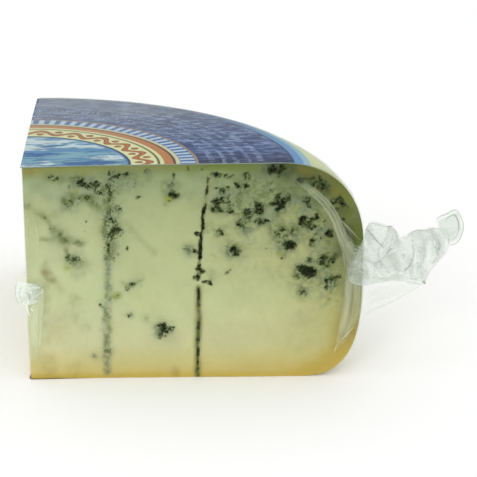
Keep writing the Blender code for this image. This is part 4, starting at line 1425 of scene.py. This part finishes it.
# The tail of gathered film: its borders
TAIL_LOW = ((346, 283), (356, 285), (368, 285), (380, 285), (392, 284), (404, 283), (414, 283), (425, 284))
TAIL_HIGH = ((357, 250), (364, 241), (366, 231), (368.5, 222.5), (374, 221), (382, 223), (391, 227),
             (397, 233), (401, 239), (408, 236.5), (417, 231.5), (427, 229), (436, 226), (443, 226))
TAIL_ROOT = ((346, 283), (347, 272), (350, 261), (357, 250))
TAIL_END = ((425, 284), (428, 273), (434, 264), (441, 256), (446, 246), (448, 236), (447, 230), (443, 226))
TAIL_LOOP = ((437, 226), (438, 219), (447, 215), (456, 211), (461, 217), (464, 227), (462, 236), (458, 243),
             (452, 246), (447, 244))
TAIL_INNER_LOOP = ((443, 224), (448, 219), (455, 216), (459, 224), (459, 232), (455, 239), (449, 241))
# The thin web under the tail: upper and lower border
WEB = (((362, 285), (380, 285), (400, 284), (425, 284)),
       ((362, 322), (370, 313), (385, 306), (398, 300), (415, 290), (425, 285)))
WEB_WHITENESS = (0.30, 0.26)
LOOP_WHITENESS = (0.66, 0.66)
LOOP_SHADE = 0.30
# Dark borders of the thin parts: way, shade
THIN_BORDERS = ((TAIL_LOOP, 0.62), (TAIL_INNER_LOOP, 0.60), (WEB[1], 0.20))
THIN_BORDER_LOOK = (0.7, 0.05)  # width and whiteness
# Layers of the tail: columns and rows, thickness, whiteness, smallest and largest crumples, seed, how much it
# is shrunk to its middle, share of its length over which it fades in, strength of its creases, brightness
TAIL_LAYERS = (
    ((130, 80), 0.0018, 0.20, (0.010, 0.024), 24, 0.05, 0.10, 1.0, 0.25),
    ((150, 92), 0.0030, 0.34, (0.012, 0.030), 11, 0.0, 0.10, 1.0, 0.25),
)
# Folds in the tail: way, width or widths, whiteness, painted shade
# Whiteness is milky film, and where near 1 a painted glint
TAIL_FOLDS = (
    (((367, 229), (373, 235), (379, 241), (383, 246)), (.9, .7), .0, .55),
    (((370, 227), (377, 233), (384, 240)), .8, .75, .0),
    (((379, 243), (377, 250), (379, 257)), .7, .0, .35),
    (((384, 252), (388, 247), (392, 243)), .9, .95, .0),
    (((387, 257), (391, 252), (396, 247)), .9, .90, .0),
    (((380, 259), (384, 254), (387, 250)), .6, .80, .0),
    (((386, 254), (390, 249), (394, 245)), .5, .0, .35),
    (((399, 251), (403, 249), (406, 252), (405, 257), (401, 259), (398, 256)), .6, .90, .10),
    (((400, 254), (403, 253), (403, 256)), .8, .0, .35),
    (((412, 240), (413, 250), (411, 260), (407, 268), (403, 276)), 1.2, .0, .25),
    (((415, 240), (416, 250), (414, 260), (410, 270), (406, 280)), 2.2, .75, .0),
    (((425, 240), (424, 252), (420, 264), (416, 274)), .8, .0, .18),
    (((430, 236), (429, 250), (425, 262), (421, 274)), 2.6, .70, .0),
    (((433, 238), (435, 243), (433, 248), (436, 254)), .7, .95, .0),
    (((437, 239), (439, 245), (437, 251), (439, 256)), .8, .0, .35),
    (((441, 238), (442, 244), (441, 250)), .7, .90, .0),
    (((431, 263), (434, 259), (438, 256)), 1.8, .0, .35),
    (((423, 280), (424, 282), (425, 284)), 1.2, .0, .80),
    (((406, 280), (412, 281), (422, 281)), .9, .90, .0),
    (((405, 283), (414, 283.5), (424, 284)), .7, .0, .30),
    (((404, 277), (411, 275), (417, 275), (419, 278)), .7, .85, .0),
    (((366, 222), (374, 221), (382, 223), (391, 227), (397, 233), (401, 239)), .6, .0, .35),
    (((370, 226), (380, 228), (390, 233), (396, 239)), 3.0, .35, .0),
    (((401, 239), (408, 236.5), (417, 231.5), (427, 229), (436, 226)), .6, .0, .30),
    (((447, 230), (448, 238), (446, 247), (441, 256), (434, 264), (428, 273), (425, 283)), .6, .0, .32),
    (((416, 247), (418, 245), (421, 244)), 1.6, .80, .0),
    (((366, 255), (374, 264), (385, 278)), .6, .0, .15),
    (((366, 262), (374, 270), (386, 279), (398, 283)), .8, .60, .0),
    (((380, 262), (388, 271), (398, 281)), .6, .0, .15),
    (((346, 283), (368, 285), (392, 284), (404, 283)), .5, .30, .10),
    (((352, 262), (364, 266), (378, 273), (392, 280)), 1.2, .45, .08),
    (((354, 270), (368, 274), (382, 280)), .8, .40, .10),
    (((356, 248), (368, 250), (378, 252)), .9, .40, .12),
)
# The small gathered fold at the left: its borders, folds, and the thin flap over it
FOLD_LOW = ((43, 303), (34, 303.5), (27, 305), (20, 303))
FOLD_HIGH = ((43, 284), (34, 283), (25, 282), (17, 281))
FOLD_ROOT = ((43, 303), (44.5, 293), (43, 284))
FOLD_END = ((20, 303), (17, 297), (15.5, 289), (17, 281))
# Its folds, like the tail's: the whitest are painted glints, the dark ones painted shade
FOLD_FOLDS = (
    (((25, 288), (33, 287), (42, 287)), .9, .95, .0),
    (((28, 293), (31, 291), (33, 295)), .9, .95, .0),
    (((30, 297), (32, 293), (35, 298)), .8, .90, .0),
    (((26, 290), (30, 295), (29, 300)), .6, .0, .35),
    (((36, 296), (40, 293), (44, 291)), .7, .85, .0),
    (((22, 284), (20, 292), (23, 301)), .8, .0, .20),
    (((20, 303), (17, 297), (15.5, 289), (17, 281)), .5, .0, .30),
    (((30, 298), (27, 306), (30, 318)), 1.5, .55, .0),
    (((31, 308), (33, 311)), 1.2, .80, .0),
    (((27, 262), (22, 270), (18, 280)), .4, .20, .14),
)
FOLD_FLAP = (((27, 262), (22, 270), (18, 280)), ((29, 262), (28, 272), (28, 282)))
FLAP_WHITENESS = (0.14, 0.16)
# Its layers, like the tail's, with a brighter milk that stands partly for painted highlights
FOLD_LAYERS = (
    ((60, 50), 0.0010, 0.46, (0.004, 0.009), 62, 0.08, 0.50, 0.40, 0.68),
    ((70, 60), 0.0016, 0.70, (0.005, 0.011), 51, 0.0, 0.50, 0.40, 0.68),
)


def smooth_way(way, count):
    """Places evenly spaced in number along a smooth curve through the way's points."""
    way = np.array(way, float)
    padded = np.concatenate([[2 * way[0] - way[1]], way, [2 * way[-1] - way[-2]]])
    run = np.linspace(0, len(way) - 1, count)
    part = np.minimum(run.astype(int), len(way) - 2)
    share = (run - part)[:, None]
    before, start, end, after = (padded[part + i] for i in range(4))
    return 0.5 * (2 * start + (end - before) * share
                  + (2 * before - 5 * start + 4 * end - after) * share ** 2
                  + (3 * start - before - 3 * end + after) * share ** 3)


def triangle_wave(value):
    """Wave from -1 to 1 with straight sides."""
    return 2 / math.pi * np.arcsin(np.sin(2 * math.pi * value) * 0.99)


def crumple(place, sizes, slope, seed, folds=5):
    """Relief of straight creases that cross each other."""
    chance = np.random.default_rng(seed)
    total = np.zeros(place.shape[:-1])
    for _ in range(folds):
        turn, size = chance.uniform(0, math.pi), chance.uniform(*sizes)
        phase = (place[..., 0] * math.cos(turn) + place[..., 1] * math.sin(turn)) / size + chance.uniform()
        total += slope * size / 4 * triangle_wave(phase)
    return total / math.sqrt(folds)


def film_stand(place):
    """How far the film over the front cut face stands out of the cut's plane."""
    return FILM_LIFT - FILM_CLING * cut_dip(place[..., 0], place[..., 1], 0.0)


def over_wrap(place):
    """How far a slack sheet on the front face stands out of the cut's plane."""
    return film_stand(place) + SHEET_STAND


def over_sheets(place):
    """How far a fold on the front face stands out of the cut's plane."""
    return film_stand(place) + FRONT_FOLD_STAND


def level(place):
    """One distance out of the cut's plane for the tail's thin parts."""
    return np.full(place.shape[:-1], LEVEL_STAND)


def film_material(name, mirror_share, edge_shade, crease_depth, dull, bright):
    """Clear film: glossy and see-through, milky where it is folded, darker where seen edge on."""
    graph = Graph(name)

    def blend(share, first, second):
        """Mix two shaders."""
        return graph.node("MixShader", {0: share, 1: first.outputs[0], 2: second.outputs[0]})

    normal = graph.bump(graph.noise(*FILM_CREASES), crease_depth)
    facing = graph.node("LayerWeight", {"Blend": 0.5, "Normal": normal}).outputs["Facing"]
    edge_on = graph.times(graph.smooth(facing, *SEEN_EDGE_ON), edge_shade)
    dark = graph.math("MINIMUM", graph.math("ADD", graph.field("shade"), edge_on), MOST_DARK)
    clear = graph.node("BsdfTransparent", {"Color": graph.mix(dark, CLEAR_TINT, DARK_TINT)})
    gloss = graph.node("BsdfGlossy", {"Color": WHITE, "Roughness": 0.10, "Normal": normal})
    power, more, straight = FRESNEL
    fresnel = graph.scaled(graph.math("POWER", facing, power), more, straight)
    sheet = blend(graph.times(fresnel, mirror_share), clear, gloss)
    milk = graph.mix(graph.field("glint"), opaque(dull), opaque(bright))
    milky = blend(LET_THROUGH, graph.node("BsdfDiffuse", {"Color": milk}),
                  graph.node("BsdfTranslucent", {"Color": milk}))
    return graph.finish(blend(graph.field("haze"), sheet, milky).outputs[0])


class Film:
    """Sheets of film collected into one piece."""

    def __init__(self):
        self.points, self.faces = [], []
        self.fields = {"haze": [], "shade": [], "glint": []}
        self.count = 0

    def add(self, place, out, **fields):
        """Add a sheet: a grid of places on the front face, how far it stands out, and its fields."""
        self.points.append(np.stack([place[..., 0], -out, place[..., 1]], -1).reshape(-1, 3))
        self.faces.append(quads(self.count + np.arange(out.size).reshape(out.shape)))
        for name, values in self.fields.items():
            values.append(np.broadcast_to(fields.get(name, 0.0), out.shape).ravel())
        self.count += out.size

    def surface(self):
        """A function that gives how far the film put in so far stands out near a place."""
        points = np.concatenate(self.points)
        tree = KDTree(len(points))
        for number, (along, _, height) in enumerate(points):
            tree.insert((along, height, 0.0), number)
        tree.balance()

        def stand_at(place):
            """How far the film stands out near each place."""
            nearest = [max(-points[found[1], 1] for found in tree.find_n((along, height, 0.0), 3))
                       for along, height in place.reshape(-1, 2)]
            return np.array(nearest).reshape(place.shape[:-1]) + RIBBON_GAP

        return stand_at

    def finish(self, name, node, material):
        """Make the piece, in place of a node of film."""
        fields = {key: np.clip(np.concatenate(values), 0.0, MOST_HAZE) for key, values in self.fields.items()}
        faces = tidy_faces(np.concatenate(self.faces))
        piece = make_piece(name, np.concatenate(self.points), faces, [material], fields,
                           CRUMPLE_CREASE_ANGLE)
        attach(piece, "root")
        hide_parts(node)


def wrap_grid(grow):
    """Points, faces and the two cuts' vertex numbers of the film over the wedge, at one distance from it."""
    shares = np.linspace(0.0, 1.0, round(WHEEL_HEIGHT / FILM_CELL) + 1)
    turns = np.linspace(0.0, CUT_ANGLE, FILM_TURNS + 1)
    columns = wheel_columns(FILM_CELL, FILM_BENDS, grow)
    return wedge_grid(columns, shares, turns, grow, FILM_LIFT, FILM_HEM)


def make_film_wrap(material):
    """The film over the top, the rind and the cut faces, open at its hem."""
    close, faces, front, left = wrap_grid(FILM_OVER_RIND)
    lifted = wrap_grid(FILM_OVER_LABEL)[0]
    reach = np.hypot(close[:, 0], close[:, 1]) / oval(np.arctan2(close[:, 1], close[:, 0]))
    down, start = LABEL_STEP
    on_label = smoothstep(LABEL_RADIUS + down, LABEL_RADIUS + start, reach)[:, None]
    points = close + (lifted - close) * on_label
    off_cuts = np.ones(len(points))

    for ids, angle in ((front, 0.0), (left, CUT_ANGLE)):
        spots, along, up, flat, outwards = read_face(points, ids, angle)
        depth, size = FILM_SLACK
        lift = depth * (fractal(flat, size, 91) + 1) * smoothstep(0.0, SLACK_FROM, along)
        points[spots] += outwards * (lift - FILM_CLING * cut_dip(along, up, angle))[:, None]
        off_cuts[spots] = 0.0

    rise, size, sharpness = RIM_CREASES
    on_rim = off_cuts * smoothstep(*RIM_ALONG, np.hypot(points[:, 0], points[:, 1]))
    pulled = 1 - np.abs(fractal(points * np.array(CREASE_STRETCH), size, 33))
    creased = pulled ** sharpness * on_rim
    points += away_from_axis(points) * (rise * creased)[:, None]
    # Painted sheen: haze and a brighter milk on the top, growing towards the far side, stand for the film's
    # reflection seen at a grazing angle
    on_top = off_cuts * smoothstep(*TOP_FROM, points[:, 2])
    strength, size, stretch = SHEEN_CLOUDS
    cloudy = 1 + strength * fractal(points * np.array(stretch), size, 47)
    sheen = TOP_SHEEN * on_top * cloudy * smoothstep(*SHEEN_BACK, points[:, 1])
    fields = {"haze": np.clip(THIN_HAZE + sheen + CREASE_HAZE * creased, 0.0, MOST_SHEEN),
              "shade": CREASE_SHADE * creased, "glint": on_top * TOP_GLINT}
    piece = make_piece("film_cover", points, tidy_faces(faces), [material], fields, COVER_CREASE_ANGLE)
    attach(piece, "root")
    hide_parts("film_wrap")


def add_fold(film, fold, depth, stand_at, seed):
    """Add a narrow fold of film along its way, on a surface that stand_at gives."""
    way, widths, white, dark = fold
    way = on_cut(way, depth)
    length = np.linalg.norm(np.diff(way, axis=0), axis=1).sum()
    count = max(8, round(length / RIBBON_STEP))
    middle = smooth_way(way, count)
    run = np.gradient(middle, axis=0)
    run /= np.linalg.norm(run, axis=1, keepdims=True)
    side = np.stack([-run[:, 1], run[:, 0]], -1)
    share = np.linspace(0.0, 1.0, count)[:, None]
    across = np.linspace(-1.0, 1.0, RIBBON_ROWS)[None, :]
    first, last = np.broadcast_to(widths, 2) * MM / 2
    half = first + (last - first) * share
    unevenness, size = RIBBON_UNEVENNESS
    half = half * (1 + unevenness * noise(noise_places(share * length, 0 * share, seed), size, seed))
    place = middle[:, None] + side[:, None] * (half * across)[..., None]
    ends = window(*FOLD_ENDS, share)
    profile = (1 - across ** 2) ** FOLD_POWER * ends
    lanes = noise_places(across * half / STREAK_WIDTH, share * length / STREAK_LENGTH + 0 * across, seed)
    mean, change = FOLD_STREAKS
    # Whiteness is milky film and, in the whitest folds, a painted glint; shade is painted shade, along the
    # middle or on one side
    white_here = white * profile * (mean + change * noise(lanes, 1.0, seed))
    out = stand_at(place) + FOLD_RISE * (1 - across ** 2) * ends
    side_place, breadth = SHADE_SIDE
    one_sided = np.exp(-((across + side_place) / breadth) ** 2) * ends
    shade = dark * (one_sided if white > HIGHLIGHT else profile)
    film.add(place, out, haze=white_here, shade=shade, glint=1.0)


def add_folds(film, folds, depth, stand_at, seed):
    """Add several folds, each with a seed of its own."""
    for number, fold in enumerate(folds):
        add_fold(film, fold, depth, stand_at, seed + number)


def fill_borders(low, high, root, end, columns, rows):
    """Places that fill four border ways, and their shares from root to end and from low to high."""
    out, rise = np.linspace(0, 1, columns)[:, None, None], np.linspace(0, 1, rows)[None, :, None]
    low, high = (smooth_way(way, columns)[:, None] for way in (low, high))
    root, end = (smooth_way(way, rows)[None] for way in (root, end))
    ruled = (1 - rise) * low + rise * high + (1 - out) * root + out * end
    corners = (1 - out) * ((1 - rise) * low[:1] + rise * high[:1])
    corners = corners + out * ((1 - rise) * low[-1:] + rise * high[-1:])
    spread = np.ones((columns, rows))
    return ruled - corners, out[..., 0] * spread, rise[..., 0] * spread


def add_sheet(film, borders, depth, stand_at, whiteness, seed, dark=0.0, bright=0.55):
    """Add a slack sheet between two ways, streaked along them, with soft borders."""
    low, high = (on_cut(way, depth) for way in borders)
    place, run, rise = fill_borders(low, high, (low[0], high[0]), (low[-1], high[-1]), *SHEET_GRID)
    lanes, lengths = SHEET_STREAKS
    streak = fractal(noise_places(rise * lanes, run * lengths, seed), 1.0, seed, 3)
    soft = window(*SHEET_ACROSS, rise) * window(*SHEET_ALONG, run)
    in_shade, in_haze, in_glint = SHEET_STREAKED
    white = whiteness[0] + (whiteness[1] - whiteness[0]) * run
    out = stand_at(place) + SHEET_RELIEF * (1 + streak) * soft
    shade = soft * (dark + in_shade * np.clip(-streak, 0, 1))
    haze = white * soft * (1.0 + in_haze * streak)
    film.add(place, out, haze=haze, shade=shade, glint=bright + in_glint * streak - dark)


def add_gathered(film, borders, depth, layer):
    """Add one crumpled layer of gathered film with broad smooth facets, with painted shade and highlights by
    their slope and bend.
    """
    grid, thickness, whiteness, facets, seed, shrink, fade_share, crease, bright = layer
    place, out, rise = fill_borders(*(on_cut(way, depth) for way in borders), *grid)
    middle = place.mean(axis=(0, 1))
    place = place + (middle - place) * shrink
    flat = np.concatenate([place, out[..., None] * 0], -1)
    jag, size = JAGS
    near_border = smoothstep(JAG_REACH, 0.0, np.minimum(rise, 1 - rise)) * smoothstep(*JAGS_FROM, out)
    place = place + (jag * fractal(flat, size, seed) * near_border)[..., None]
    sway, size = SWAY
    bent = place + sway * np.stack([noise(flat, size, seed + 5), noise(flat, size, seed + 6)], -1)
    steep, fine_steep, finer = CRUMPLES
    fine_facets = [size / finer for size in facets]
    relief = crumple(bent, facets, steep, seed + 2) * smoothstep(*CREASED_FROM, out)
    fine_relief = crumple(bent, fine_facets, fine_steep, seed + 8)
    relief = relief + fine_relief * smoothstep(*FINE_CREASED_FROM, out)
    relief = CREST_LIMIT * np.tanh(crease * relief / CREST_LIMIT)
    number, size, pleat_height = PLEATS
    pleats = triangle_wave(number * rise + PLEAT_WANDER * noise(flat, size, seed + 1) + PLEAT_SLANT * out)
    relief = relief + pleat_height * thickness * pleats * smoothstep(*PLEATS_TO, out)
    thick_from, swollen, rounded = BULGE
    body = thickness * (smoothstep(0.0, thick_from, out) * swollen + rounded * np.sin(math.pi * rise))
    ground = np.maximum(film_stand(place), GATHER_BACK) + GATHER_GAP
    stand = np.maximum(ground + body + relief, ground)
    bend, slope = np.zeros_like(out), np.zeros_like(out)
    bend[1:-1] += stand[2:] + stand[:-2] - 2 * stand[1:-1]
    bend[:, 1:-1] += stand[:, 2:] + stand[:, :-2] - 2 * stand[:, 1:-1]
    slope[1:-1] = (stand[2:] - stand[:-2]) / np.linalg.norm(place[2:] - place[:-2], axis=-1)
    # Painted shade in valleys and on slopes facing the root, painted highlights on crests and on slopes
    # facing the end
    crest, valley = (np.clip(sign * bend / SHARP_BEND, 0.0, 1.0) for sign in (-1, 1))
    strength, size = GATHER_CLOUDS
    cloud = strength * fractal(flat, size, seed + 4, 3)
    fade = smoothstep(0.0, fade_share, out)
    at_root = smoothstep(*ROOT_TO, out) * smoothstep(*ROOT_UP_TO, rise)
    haze = fade * (whiteness * (1 + cloud + ROOT_WHITER * at_root) + CREST_HAZE * crest)
    base, in_valley, on_slope = GATHER_SHADE
    shade = base + in_valley * valley + on_slope * smoothstep(*SHADE_SLOPES, slope)
    shade = crease * fade * shade * (1 - ROOT_SHADELESS * at_root)
    on_slope, on_crest = GLINTS
    glint = bright + on_slope * smoothstep(*GLINT_SLOPES, slope) + on_crest * crest
    film.add(place, stand, haze=haze, shade=shade, glint=glint)


def make_film(cover_material, slack_material, gathered_material):
    """All the film: the wrap with its folds, the tail and the small gathered fold."""
    make_film_wrap(cover_material)
    folds = Film()
    for number, (low, high, whiteness, bright) in enumerate(FRONT_SHEETS):
        add_sheet(folds, (low, high), FOLD_STAND, over_wrap, whiteness, 180 + number, bright=bright)
    add_folds(folds, FRONT_FOLDS, FOLD_STAND, over_sheets, 200)
    folds.finish("film_front_folds", "film_wrap", slack_material)

    tail = Film()
    for layer in TAIL_LAYERS:
        add_gathered(tail, (TAIL_LOW, TAIL_HIGH, TAIL_ROOT, TAIL_END), TAIL_STAND, layer)
    add_folds(tail, TAIL_FOLDS, TAIL_STAND, tail.surface(), 400)
    loop = (TAIL_LOOP[:5], TAIL_LOOP[:4:-1])
    add_sheet(tail, loop, TAIL_STAND, level, LOOP_WHITENESS, 460, LOOP_SHADE)
    add_sheet(tail, WEB, TAIL_STAND, level, WEB_WHITENESS, 470)
    dark_borders = [(way, *THIN_BORDER_LOOK, dark) for way, dark in THIN_BORDERS]
    add_folds(tail, dark_borders, TAIL_STAND, level, 480)
    tail.finish("film_tail_gather", "film_tail", gathered_material)

    gather = Film()
    for layer in FOLD_LAYERS:
        add_gathered(gather, (FOLD_LOW, FOLD_HIGH, FOLD_ROOT, FOLD_END), FOLD_STAND, layer)
    surface = gather.surface()
    add_sheet(gather, FOLD_FLAP, FOLD_STAND, over_wrap, FLAP_WHITENESS, 490)
    add_folds(gather, FOLD_FOLDS, FOLD_STAND, surface, 500)
    gather.finish("film_fold_gather", "film_fold", gathered_material)


# ---------------------------------------------------------------- floor, light, camera

SENSOR_WIDTH = 36.0             # in mm
FLOOR_GREY = 0.985
FLOOR_HALF = 6.0
FLOOR_DROP = 0.0001             # keeps the wedge's base off the floor's plane
KEY_PLACE = (-0.45, -1.15, 0.60)
KEY_TARGET = (0.0, 0.0, 0.04)
KEY_SIZE = 0.35
KEY_POWER = 3.0


def put_in_scene(data, place, direction):
    """Put a camera or a light in the scene at a place, looking in a direction."""
    thing = bpy.data.objects.new(data.name, data)
    thing.location = place
    thing.rotation_mode = "QUATERNION"
    thing.rotation_quaternion = Vector(direction).to_track_quat("-Z", "Y")
    bpy.context.scene.collection.objects.link(thing)
    return thing


def make_camera():
    """A long lens at the photograph's place."""
    data = bpy.data.cameras.new("camera")
    data.sensor_width = SENSOR_WIDTH
    data.lens = FOCAL_PIXELS / PHOTO_PIXELS * SENSOR_WIDTH
    place = CAMERA_TARGET + AXIS_PLACE + CAMERA_BACK * CAMERA_DISTANCE
    bpy.context.scene.camera = put_in_scene(data, place, -CAMERA_BACK)


def make_key_light():
    """A large soft light at the front left."""
    data = bpy.data.lights.new("key", "AREA")
    data.shape = "SQUARE"
    data.size = KEY_SIZE
    data.energy = KEY_POWER
    put_in_scene(data, KEY_PLACE, Vector(KEY_TARGET) - Vector(KEY_PLACE))


def make_studio():
    """Pale floor and white surroundings."""
    world = bpy.data.worlds.new("studio")
    bpy.context.scene.world = world
    world.use_nodes = True
    background = world.node_tree.nodes["Background"]
    background.inputs["Color"].default_value = WHITE
    background.inputs["Strength"].default_value = 1.0
    graph = Graph("studio_floor")
    shader = graph.node("BsdfDiffuse", {"Color": (FLOOR_GREY, FLOOR_GREY, FLOOR_GREY, 1.0)})
    mesh = bpy.data.meshes.new("floor")
    corners = [(x * FLOOR_HALF, y * FLOOR_HALF, 0) for x, y in ((-1, -1), (1, -1), (1, 1), (-1, 1))]
    mesh.from_pydata(corners, [], [(0, 1, 2, 3)])
    mesh.materials.append(graph.finish(shader.outputs[0]))
    floor = bpy.data.objects.new("floor", mesh)
    bpy.context.scene.collection.objects.link(floor)
    floor.location = (0.0, 0.0, -FLOOR_DROP)


make_camera()
make_cheese(cheese_material())
make_label(label_material(), paper_edge_material())
make_film(*(film_material(*look) for look in FILM_LOOKS))
make_studio()
make_key_light()
bpy.context.scene.view_settings.view_transform = "Standard"
